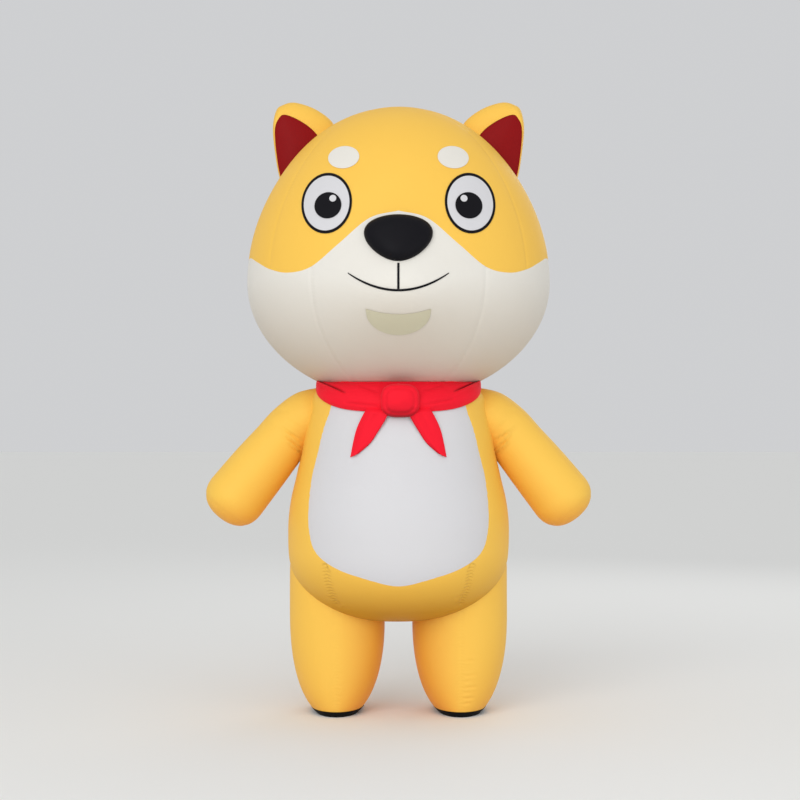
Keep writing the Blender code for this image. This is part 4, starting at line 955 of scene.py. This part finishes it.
def makeTorso():
    yellow = materials["yellow_cloth"]
    fine = np.linspace(torso["gussetRun"], 0, 6000)
    lengths = gridLengths(torsoPoint(np.zeros((len(fine), 1)), fine[:, None]), 0)[:, 0]
    low = np.interp(np.linspace(0, lengths[-1], torso["lowRows"]), lengths, fine)
    allRuns = np.concatenate((low, crowded(0.0, neckRun, torso["highRows"], 0.3)[1:]))
    slotLow, slotHigh = torso["zipSlot"]

    def grid(first, last, runs):
        return gridOf(crowded(first, last, stepCount((last - first) * math.radians(1) * 0.45)), runs)

    def clearOfLimbs(points):
        return np.minimum(outsideLeg(points), outsideArm(points)) + torso["underLap"]

    def frontField(points):
        return np.minimum(clearOfLimbs(points), outsideBelly(points) + torso["bellyLap"])

    def underBelly(points):
        # The yellow cloth's seam allowance lies below the white panel
        share = np.clip((torso["lapEdge"] - outsideBelly(points)) / torso["lapEdge"], 0, 1)
        return torso["lapDepth"] * share * (points[:, 1] < 0)

    def backField(points):
        beside = np.abs(points[:, 0]) - torso["zipSlotHalf"]
        beyond = np.abs(points[:, 2] - (slotLow + slotHigh) / 2) - (slotHigh - slotLow) / 2
        return np.minimum(clearOfLimbs(points), np.maximum(beside, beyond))

    span, front, back = torso["bellySpan"], torso["lowSeam"], torso["sideSeam"]
    # Lined pieces: painted shade on faces that point down, in place of the painted glow
    panel("belly_panel", torsoPoint, *grid(-span, span, allRuns), materials["white_cloth"],
          field=lambda points: -outsideBelly(points), paintedUnderShade=True)
    panel("torso_front_low", torsoPoint, *grid(-front, front, low), yellow, field=frontField, under=underBelly,
          paintedUnderShade=True)
    for side, label in sides:
        panel("torso_side_front" + label, torsoPoint, *grid(front, back, allRuns), yellow, side, field=frontField,
              under=underBelly, paintedUnderShade=True)
        panel("torso_back" + label, torsoPoint, *grid(back, 180, allRuns), yellow, side, field=backField, paintedUnderShade=True)
    turns = np.linspace(0, 360, 200, endpoint=False)
    panel("torso_gusset", torsoPoint, *gridOf(turns, np.linspace(torso["gussetRun"], -89.9, 22)), yellow,
          closed=True, outward=np.array((0, 0, torso["wideZ"])),
          field=lambda points: outsideLeg(points) + torso["underLap"], paintedUnderShade=True)
    print("stage: torso sewn")


def makeArms():
    yellow = materials["yellow_cloth"]
    end = 1 + arm["capAngle"] / 90
    capTurns = np.linspace(0, 360, arm["capColumns"], endpoint=False)
    capRuns = 1 + np.concatenate((np.linspace(arm["capAngle"], 80, 14), (84, 87, 89, 89.97))) / 90
    for side, label in sides:
        for name, low, high in (("arm_front", 0, 180), ("arm_back", 180, 360)):
            columns = crowded(low, high, arm["columns"][name], 0.3)
            grid = gridBetween(columns, lambda turn: armStart(turn, arm["underLap"]),
                               lambda turn: np.full(len(turn), end), arm["rows"], 0.5)
            panel(name + label, armPoint, *grid, yellow, side)
        panel("arm_cap" + label, armPoint, *gridOf(capTurns, capRuns), yellow, side, closed=True)
    print("stage: arms sewn")


# Sole: a cup of black cloth round the foot's edge and flat under it
sole = {"reach": 0.0028, "thickness": 0.0020, "rings": 9, "round": 0.004, "lowest": 0.0015, "columns": 120}


def solePoints():
    turns = np.linspace(0, 360, sole["columns"], endpoint=False)
    middle = np.array((leg["x"], 0, 0))
    rings = []
    for height in (*np.linspace(leg["soleTop"], sole["round"], sole["rings"]), sole["lowest"], 0.0):
        level = np.full(len(turns), max(height, sole["lowest"]))
        ring = legPoint(turns, level) + sole["reach"] * normalsOf(legPoint, turns, level)[0] * (1, 1, 0)
        shrink = 1 - 0.012 * max(1 - height / sole["round"], 0)
        ring[:, 2] = height
        ring[:, 0] = leg["x"] + (ring[:, 0] - leg["x"]) * shrink
        ring[:, 1] *= shrink
        rings.append(ring)
    rings += [middle + (rings[-1] - middle) * share for share in (0.85, 0.6, 0.3, 0.0)]
    return np.array(rings)


def makeLegs():
    yellow = materials["yellow_cloth"]
    for side, label in sides:
        for name, low, high in (("leg_outer", 0, 180), ("leg_inner", 180, 360)):
            columns = crowded(low, high, leg["columns"], 0.5)
            grid = gridBetween(columns, lambda turn: np.full(len(turn), leg["lowZ"]),
                               lambda turn: legTop(turn, leg["underLap"]), leg["rows"], 0.3)
            panel(name + label, legPoint, *grid, yellow, side)
        freePiece("sole" + label, solePoints(), materials["sole_cloth"], side, True,
                  thickness=sole["thickness"], restsOn=["leg_outer" + label])
    print("stage: legs sewn")


def makeEars():
    turns = np.linspace(0, 1, ear["columns"], endpoint=False)
    shell = np.concatenate((np.linspace(1, 0, 14), np.linspace(0, -1, 22)[1:]))
    for side, label in sides:
        for name, surface, rows, material in (
            ("ear_back", earPoint, shell, "yellow_cloth"),
            ("ear_front", earFrontPoint, np.linspace(0, 1, 24), "dark_red_cloth"),
        ):
            panel(name + label, surface, *gridOf(turns, rows), materials[material], side, closed=True,
                  outward=earHeart, field=lambda points: outsideHead(points) + ear["underLap"])
    print("stage: ears sewn")


# Face: sewn-on pieces that lie on the head's cloth; each place is centre x, z, half-width, half-height
face = {
    "eye": (0.290, 2.124, 0.094, 0.1155), "pupil": (0.283, 2.112, 0.055, 0.055),
    "glint": (0.262, 2.139, 0.014, 0.014), "brow": (0.223, 2.318, 0.064, 0.050),
    "nose": (0.0, 1.970, 0.1325, 0.095), "noseDepth": 0.045, "noseTaper": 0.25, "rimWidth": 0.010,
    "allowance": 0.001, "thickness": 0.0010, "lift": 0.0021, "line": 0.009, "philtrumTop": 1.868,
    "smileZ": 1.760, "smileLift": 0.072, "smileHalf": 0.20, "smileTaper": 0.55,
    "windowHalf": 0.1285, "windowTop": 1.668, "windowRise": 0.022, "windowLow": 1.589, "windowEnd": 0.008,
    "windowLift": 0.0031,
}


def onFace(x, z, lift, side=1):
    # Points lifted off the cloth of the face, following that side's own soft unevenness
    points = facePoint(x, z)
    relief = reliefAt(points.reshape(-1, 3) * (side, 1, 1))[0].reshape(points.shape[:-1])
    return points + (relief + lift)[..., None] * normalsOf(facePoint, x, z)[0]


def facePatch(name, place, rings, count, lift, material, side=1, dome=0.0, taper=0.0):
    x0, z0, halfWidth, halfHeight = face[place]
    turns = np.radians(np.linspace(0, 360, count, endpoint=False))
    share = np.array(rings)[:, None]
    x = x0 + halfWidth * (1 + taper * np.sin(turns)) * share * np.cos(turns)
    z = z0 + halfHeight * share * np.sin(turns)
    swell = dome * np.sqrt(np.maximum(1 - share**3, 0)) * np.ones_like(x)
    # A whole patch is sewn round its edge; the rim is too thin to show its own line
    seam = (1 - share) * min(halfWidth, halfHeight) * np.ones_like(x) + 0.0008 if rings[-1] == 0 else None
    freePiece(name, onFace(x, z, lift + swell, side), material, side, True, (0.0, 0.3, z0), seam,
              thickness=face["thickness"], restsOn=["head_crown_front"], allowance=face["allowance"])


def faceStrip(name, x, rows, lift, material):
    z = np.array(rows)
    freePiece(name, onFace(np.broadcast_to(x, z.shape), z, lift), material, heart=(0.0, 0.3, 1.75),
              thickness=face["thickness"], restsOn=["head_muzzle"], allowance=face["allowance"])


def makeFace():
    white, black, cream = materials["white_cloth"], materials["black_cloth"], materials["cream_cloth"]
    full = np.concatenate((np.linspace(1, 0.1, 14), (0.0,)))
    rim = 1 + face["rimWidth"] / face["eye"][2]
    lift = face["lift"]
    for side, label in sides:
        for name, place, rings, count, height, material in (
            ("eye_white", "eye", full, 96, lift, white),
            ("eye_rim", "eye", (rim, (rim + 1) / 2, 1.004), 110, lift + 0.0004, black),
            ("pupil", "pupil", full, 80, 2 * lift + 0.0002, black),
            ("glint", "glint", (1, 0.6, 0.3, 0), 40, 3 * lift + 0.0003, white),
            ("brow", "brow", full, 80, lift, cream),
        ):
            facePatch(name + label, place, rings, count, height, material, side)
    rings = np.concatenate((1 - np.linspace(0, 1, 12) ** 2 * 0.3, np.linspace(0.66, 0.05, 14), (0.0,)))
    facePatch("nose", "nose", rings, 110, lift, black, dome=face["noseDepth"], taper=face["noseTaper"])
    half = face["line"] / 2
    heights = np.linspace(face["smileZ"] + half + 0.0006, face["philtrumTop"], 16)
    faceStrip("philtrum", np.array((-half, 0, half)), np.repeat(heights[:, None], 3, axis=1), lift, black)
    share = np.linspace(-1, 1, 90)
    smile = face["smileZ"] + face["smileLift"] * share**2
    thin = half * (1 - face["smileTaper"] * np.abs(share) ** 6)
    faceStrip("smile", share * face["smileHalf"], [smile + thin * across for across in (-1, 0, 1)], lift, black)
    share = np.linspace(-1, 1, 60)
    top = face["windowTop"] + face["windowRise"] * share**2
    ends = face["windowTop"] + face["windowRise"] - face["windowEnd"]
    low = ends - (ends - face["windowLow"]) * np.sqrt(np.maximum(1 - share**2, 0))
    faceStrip("vision_window", share * face["windowHalf"],
              [low + part * (top - low) for part in np.linspace(0, 1, 14)], face["windowLift"],
              materials["window_mesh"])
    print("stage: face sewn on")


# Neckerchief: a rolled band round the neck, a puffed knot and two pointed tails
scarf = {
    "top": 1.401, "frontLow": 1.279, "sideRise": 0.098, "bulge": 0.016, "sideSwell": 1.6, "seat": 0.0052,
    "chinReach": 0.010, "thickness": 0.0018, "frontColumns": 220, "backColumns": 80, "rows": 46,
    # Folds along the roll: height all round, more of it near the knot within so many degrees, number, drift
    "fold": 0.0012, "knotFold": 0.0022, "knotReach": 55, "foldCount": 1.55, "foldDrift": 0.16,
    # Tucks in the band: x, z of both ends in the front view, depth, half-width; deeper tucks get more painted shade
    "tucks": (
        ((-0.312, 1.388), (-0.208, 1.347), 0.0120, 0.0042), ((0.316, 1.391), (0.218, 1.352), 0.0120, 0.0042),
        ((-0.205, 1.316), (-0.080, 1.302), 0.0050, 0.0060), ((0.214, 1.330), (0.096, 1.306), 0.0050, 0.0060),
        ((-0.150, 1.372), (-0.078, 1.350), 0.0040, 0.0070), ((0.170, 1.374), (0.094, 1.356), 0.0040, 0.0070),
    ),
}


def bandPoint(azimuth, share):
    side = np.sin(np.radians(azimuth)) ** 4
    low = scarf["frontLow"] + scarf["sideRise"] * side
    height = scarf["top"] + (low - scarf["top"]) * share
    across = np.sin(np.pi * np.clip(share, 0, 1))
    run = height - torso["wideZ"]
    lift = scarf["seat"] + scarf["bulge"] * (1 + (scarf["sideSwell"] - 1) * side) * across**0.7
    lift = lift + scarf["chinReach"] * np.exp(-((share / 0.07) ** 2))
    # Folds along the roll: uneven waves that wander round the neck, deepest beside the knot
    turn = np.radians(azimuth)
    wander = 0.6 * np.sin(2 * turn + 0.7) + 0.35 * np.sin(5 * turn + 1.9)
    near = np.exp(-((np.degrees(np.arctan2(np.sin(turn), np.cos(turn))) / scarf["knotReach"]) ** 2))
    fold = np.sin(2 * np.pi * (scarf["foldCount"] * share + scarf["foldDrift"] * wander)) * across**0.5
    lift = lift + (scarf["fold"] + scarf["knotFold"] * near) * fold * (1 - 0.5 * side)
    points = torsoPoint(azimuth, run)
    x = points[..., 0]
    dark = np.zeros(x.shape)
    for (x0, z0), (x1, z1), depth, width in scarf["tucks"]:
        wayX, wayZ = x1 - x0, z1 - z0
        along = np.clip(((x - x0) * wayX + (height - z0) * wayZ) / (wayX**2 + wayZ**2), 0, 1)
        gap = np.hypot(x - x0 - along * wayX, height - z0 - along * wayZ)
        above = ((x - x0) * wayZ - (height - z0) * wayX) * wayX > 0
        fade = np.sin(np.pi * np.clip(0.15 + 0.85 * along, 0, 1)) ** 0.6 * (np.cos(turn) > 0)
        lift = lift - depth * fade * np.exp(-((gap / width) ** 2))
        # Painted shade along the tuck's trough, given to the red's deep colour
        shade = np.clip(depth / 0.012, 0, 1) ** 2 * fade * np.exp(-((gap / (0.7 * width)) ** 2))
        dark = np.maximum(dark, shade)
        lift = lift + 0.35 * depth * fade * np.exp(-(((gap - 2.2 * width) / (1.4 * width)) ** 2)) * above
    return points + lift[..., None] * normalsOf(torsoPoint, azimuth, run)[0], dark.ravel()


def makeBand():
    turns = np.concatenate((
        np.linspace(-80, 80, scarf["frontColumns"], endpoint=False),
        np.linspace(80, 280, scarf["backColumns"], endpoint=False),
    ))
    azimuth, across = gridOf(turns, np.linspace(1, 0, scarf["rows"]))
    points, dark = bandPoint(azimuth, across)
    u, v = gridLengths(points, 1).ravel(), gridLengths(points, 0).ravel()
    flat = points.reshape(-1, 3)
    # The painted tuck shade goes in the painted light column
    data = np.column_stack((flat, np.full(len(flat), noSeam), u, dark, u, v, dark * 0))
    field = np.minimum(outsideHead(flat), outsideArm(flat)) - 0.0002
    data, faces = clipped(data, gridFaces(*azimuth.shape, True), field)
    makePiece("scarf_band", data, faces, False, materials["red_cloth"], scarf["thickness"], "folded",
              ["torso_side_front_L", "belly_panel"])


# The knot: a rounded square button of cloth with a groove round its face
knot = {
    "x": 0.007, "z": 1.3255, "halfWidth": 0.079, "halfHeight": 0.0685, "depth": 0.050, "seatY": -0.3728,
    "groove": 0.007, "grooveAt": 0.76, "grooveWidth": 0.10, "squareness": 0.34, "pleat": 0.0005, "pleats": 11,
    "dent": 0.0022, "columns": 120,
}


def makeKnot():
    turns = np.linspace(0, 2 * np.pi, knot["columns"], endpoint=False)
    rings = np.concatenate((
        np.linspace(1.0, 0.8, 14), np.linspace(0.79, 0.48, 22), np.linspace(0.46, 0.03, 14), (0.0,),
    ))[:, None]
    square = 1 - knot["squareness"] + knot["squareness"] * np.clip(1 - rings / 0.6, 0, 1) ** 0.8
    across, along = (np.sign(wave) * np.abs(wave) ** square for wave in (np.cos(turns), np.sin(turns)))
    groove = 0.8 * knot["groove"] * np.exp(-(((rings - knot["grooveAt"]) / knot["grooveWidth"]) ** 2))
    groove = groove * (0.55 + 0.45 * np.cos(turns) ** 2)
    groove = groove - 0.5 * knot["groove"] * np.clip(1 - (rings / 0.70) ** 2, 0, 1) ** 1.5
    pleat = knot["pleat"] * np.sin(knot["pleats"] * turns + 1.2 * np.sin(3 * turns))
    pleat = pleat * np.exp(-(((rings - 0.78) / 0.12) ** 2))
    dent = knot["dent"] * np.sin(2 * turns + 0.5) * (rings / 0.4) ** 2 * np.exp(-((rings / 0.4) ** 2))
    depth = knot["depth"] * np.sqrt(np.maximum(1 - rings**4, 0)) - groove + pleat + dent
    points = np.stack((
        knot["x"] + knot["halfWidth"] * rings * across, knot["seatY"] - np.maximum(depth, 0),
        knot["z"] + knot["halfHeight"] * rings * along,
    ), axis=-1)
    freePiece("scarf_knot", points, materials["red_cloth"], 1, True, (knot["x"], -0.30, knot["z"]),
              thickness=scarf["thickness"], held="folded", restsOn=["scarf_band"])


# Tails: share of the length, x and z of the outer edge, x and z of the inner edge
tail = {
    "rows": (
        (0.00, 0.1280, 1.296, 0.0340, 1.288), (0.25, 0.1480, 1.262, 0.0520, 1.250),
        (0.55, 0.1730, 1.206, 0.0830, 1.199), (0.80, 0.1870, 1.149, 0.1180, 1.148),
        (1.00, 0.1975, 1.094, 0.1620, 1.109),
    ),
    "hidden": 0.10, "seated": 0.24, "rest": 0.0045, "puff": 0.010, "topLift": 0.018, "fold": 0.0042, "hem": 0.0014,
}


def makeTails():
    length = np.linspace(-tail["hidden"], 1, 66)
    across = np.linspace(0, 1, 34)
    start, ahead = rowValues(tail["rows"], np.array([0.0, 0.05]))
    row = rowValues(tail["rows"], length) + np.minimum(length, 0)[:, None] * (ahead - start) / 0.05
    x0, z0, x1, z1 = row.T[..., None]
    x, z = x0 + (x1 - x0) * across, z0 + (z1 - z0) * across
    # The hidden top lies flat under the band, and the rest puffs out below it
    tuck = np.clip((length[:, None] + tail["hidden"]) / tail["seated"], 0, 1)
    share = np.clip(length, 0, 1)[:, None]
    hem = tail["hem"] * np.exp(-(((np.minimum(across, 1 - across) - 0.06) / 0.03) ** 2))
    lift = tail["rest"] + tail["puff"] * np.sin(np.pi * across) + tail["topLift"] * (1 - share) ** 2
    lift = lift * (0.15 + 0.85 * tuck**2 * (3 - 2 * tuck))
    for side, label in sides:
        fold = tail["fold"] * tuck * np.sin(2 * np.pi * (1.4 * across + 0.10 * side)) * (1 - share) ** 0.7
        points = torsoFront(x, z) - np.stack((x * 0, lift + fold + hem, x * 0), axis=-1)
        freePiece("scarf_tail" + label, points, materials["red_cloth"], side, heart=(0.0, 0.0, 1.18),
                  thickness=scarf["thickness"], held="hung", restsOn=["belly_panel"])


def makeScarf():
    makeBand()
    makeKnot()
    makeTails()
    print("stage: neckerchief tied")


# Back zip: the tape under the slot, and a coil of bent nylon loops along its middle
zipper = {
    "low": 0.588, "high": 1.238, "tapeHalf": 0.0135, "tapeThickness": 0.0008, "under": 0.0042, "pitch": 0.0034,
    "loopHalf": 0.0034, "loopHeight": 0.0022, "loopWidth": 0.36, "loopLean": 0.0007, "loopSink": 0.0012,
    "loopSides": 6,
}


def makeCoil(heights, middle, normal):
    sideways = np.array((1.0, 0, 0))
    count, corners = int((zipper["high"] - zipper["low"]) / zipper["pitch"]), zipper["loopSides"]
    places = zipper["low"] + (np.arange(count) + 0.5) * zipper["pitch"]
    spot, out = (
        np.stack([np.interp(places, heights, line[:, axis]) for axis in range(3)], axis=-1) for line in (middle, normal)
    )
    # Each loop is a short bar across the tape: loop, end, corner, axis
    turn = np.linspace(0, 2 * np.pi, corners, endpoint=False)[None, None, :, None]
    end = np.array((-1.0, 1.0))[None, :, None, None]
    spot, out, up = (part[:, None, None, :] for part in (spot, out, np.cross(out, sideways)))
    vertices = spot + end * zipper["loopHalf"] * sideways
    vertices = vertices + up * (zipper["pitch"] * zipper["loopWidth"] * np.cos(turn) + zipper["loopLean"] * end)
    vertices = vertices + out * (zipper["loopHeight"] * 0.5 * np.sin(turn) - zipper["loopSink"])
    loop = gridFaces(2, corners, True).tolist() + [list(range(corners))[::-1], list(range(corners, 2 * corners))]
    faces = [[2 * corners * index + corner for corner in one] for index in range(count) for one in loop]
    mesh = bpy.data.meshes.new("zip_coil")
    mesh.from_pydata((vertices.reshape(-1, 3) + np.array((0, axisY, 0))).tolist(), [], faces)
    mesh.shade_smooth()
    mesh.materials.append(materials["zip_tape"])
    coil = bpy.data.objects.new("zip_coil", mesh)
    bpy.context.scene.collection.objects.link(coil)
    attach(coil, "costume")


def makeZip():
    heights = np.linspace(zipper["low"], zipper["high"], 130)
    low = np.clip((torso["wideZ"] - heights) / torso["drop"], 0, 1)
    angle = np.degrees(np.arcsin(low ** (torso["fullness"] / 2)))
    runs = np.where(heights < torso["wideZ"], -angle, heights - torso["wideZ"])
    column = np.full(len(heights), 180.0)
    middle, normal = torsoPoint(column, runs), normalsOf(torsoPoint, column, runs)[0]
    across = np.linspace(-zipper["tapeHalf"], zipper["tapeHalf"], 9)[None, :, None] * (1, 0, 0)
    freePiece("zip_tape", (middle - zipper["under"] * normal)[:, None, :] + across, materials["zip_tape"],
              heart=(0.0, 0.0, 0.9), thickness=zipper["tapeThickness"], restsOn=["torso_back_L"], allowance=0.0)
    makeCoil(heights, middle, normal)
    for name in ("zip_slider", "zip_pull"):
        node = frame["nodes"][name]
        node.data.materials.clear()
        node.data.materials.append(materials["zip_metal"])
    print("stage: zip set in")


# Studio: a pale matt floor and wide soft lights in front, with a weak one behind for the back
studio = {
    "floorHalf": 40.0, "floorColour": "#efefec", "floorRoughness": 0.80, "airColour": "#e4e5e7", "airStrength": 0.80,
    # kind, name, place, aim, angle in radians or width in metres, power
    "lights": (
        ("SUN", "wide soft light", (-2.2, -7.0, 5.0), (0, 0, 0), math.radians(50), 0.6),
        ("AREA", "key light", (-2.6, -6.6, 3.4), (0, 0, 1.3), 3.6, 100),
        ("AREA", "fill light", (4.2, -5.2, 2.0), (0, 0, 1.1), 3.6, 50),
        ("AREA", "rear light", (2.4, 5.6, 4.2), (0, 0, 1.5), 3.4, 40),
    ),
}


def makeStudio():
    floor = bpy.data.meshes.new("floor")
    half = studio["floorHalf"]
    floor.from_pydata([(-half, -half, 0), (half, -half, 0), (half, half, 0), (-half, half, 0)], [], [(0, 1, 2, 3)])
    ground = bpy.data.objects.new("floor", floor)
    bpy.context.scene.collection.objects.link(ground)
    floor.materials.append(newMaterial("pale floor, matt", {
        "Base Color": hexToLinear(studio["floorColour"]), "Roughness": studio["floorRoughness"],
    })[0])
    world = bpy.data.worlds.new("studio")
    world.use_nodes = True
    background = world.node_tree.nodes["Background"]
    background.inputs["Color"].default_value = hexToLinear(studio["airColour"])
    background.inputs["Strength"].default_value = studio["airStrength"]
    bpy.context.scene.world = world
    for kind, name, spot, aim, spread, power in studio["lights"]:
        light = bpy.data.lights.new(name, kind)
        light.energy = power
        setattr(light, "angle" if kind == "SUN" else "size", spread)
        lamp = bpy.data.objects.new(name, light)
        bpy.context.scene.collection.objects.link(lamp)
        lamp.location = spot
        lamp.rotation_euler = (Vector(aim) - Vector(spot)).to_track_quat("-Z", "Y").to_euler()
        lamp.visible_camera = False
    print("stage: studio lit")


makeHead()
makeTorso()
makeArms()
makeLegs()
makeEars()
makeFace()
makeScarf()
makeZip()
makeStudio()

print("cut sizes", {name: [round(value, 3) for value in row] for name, row in pieceSizes.items()})
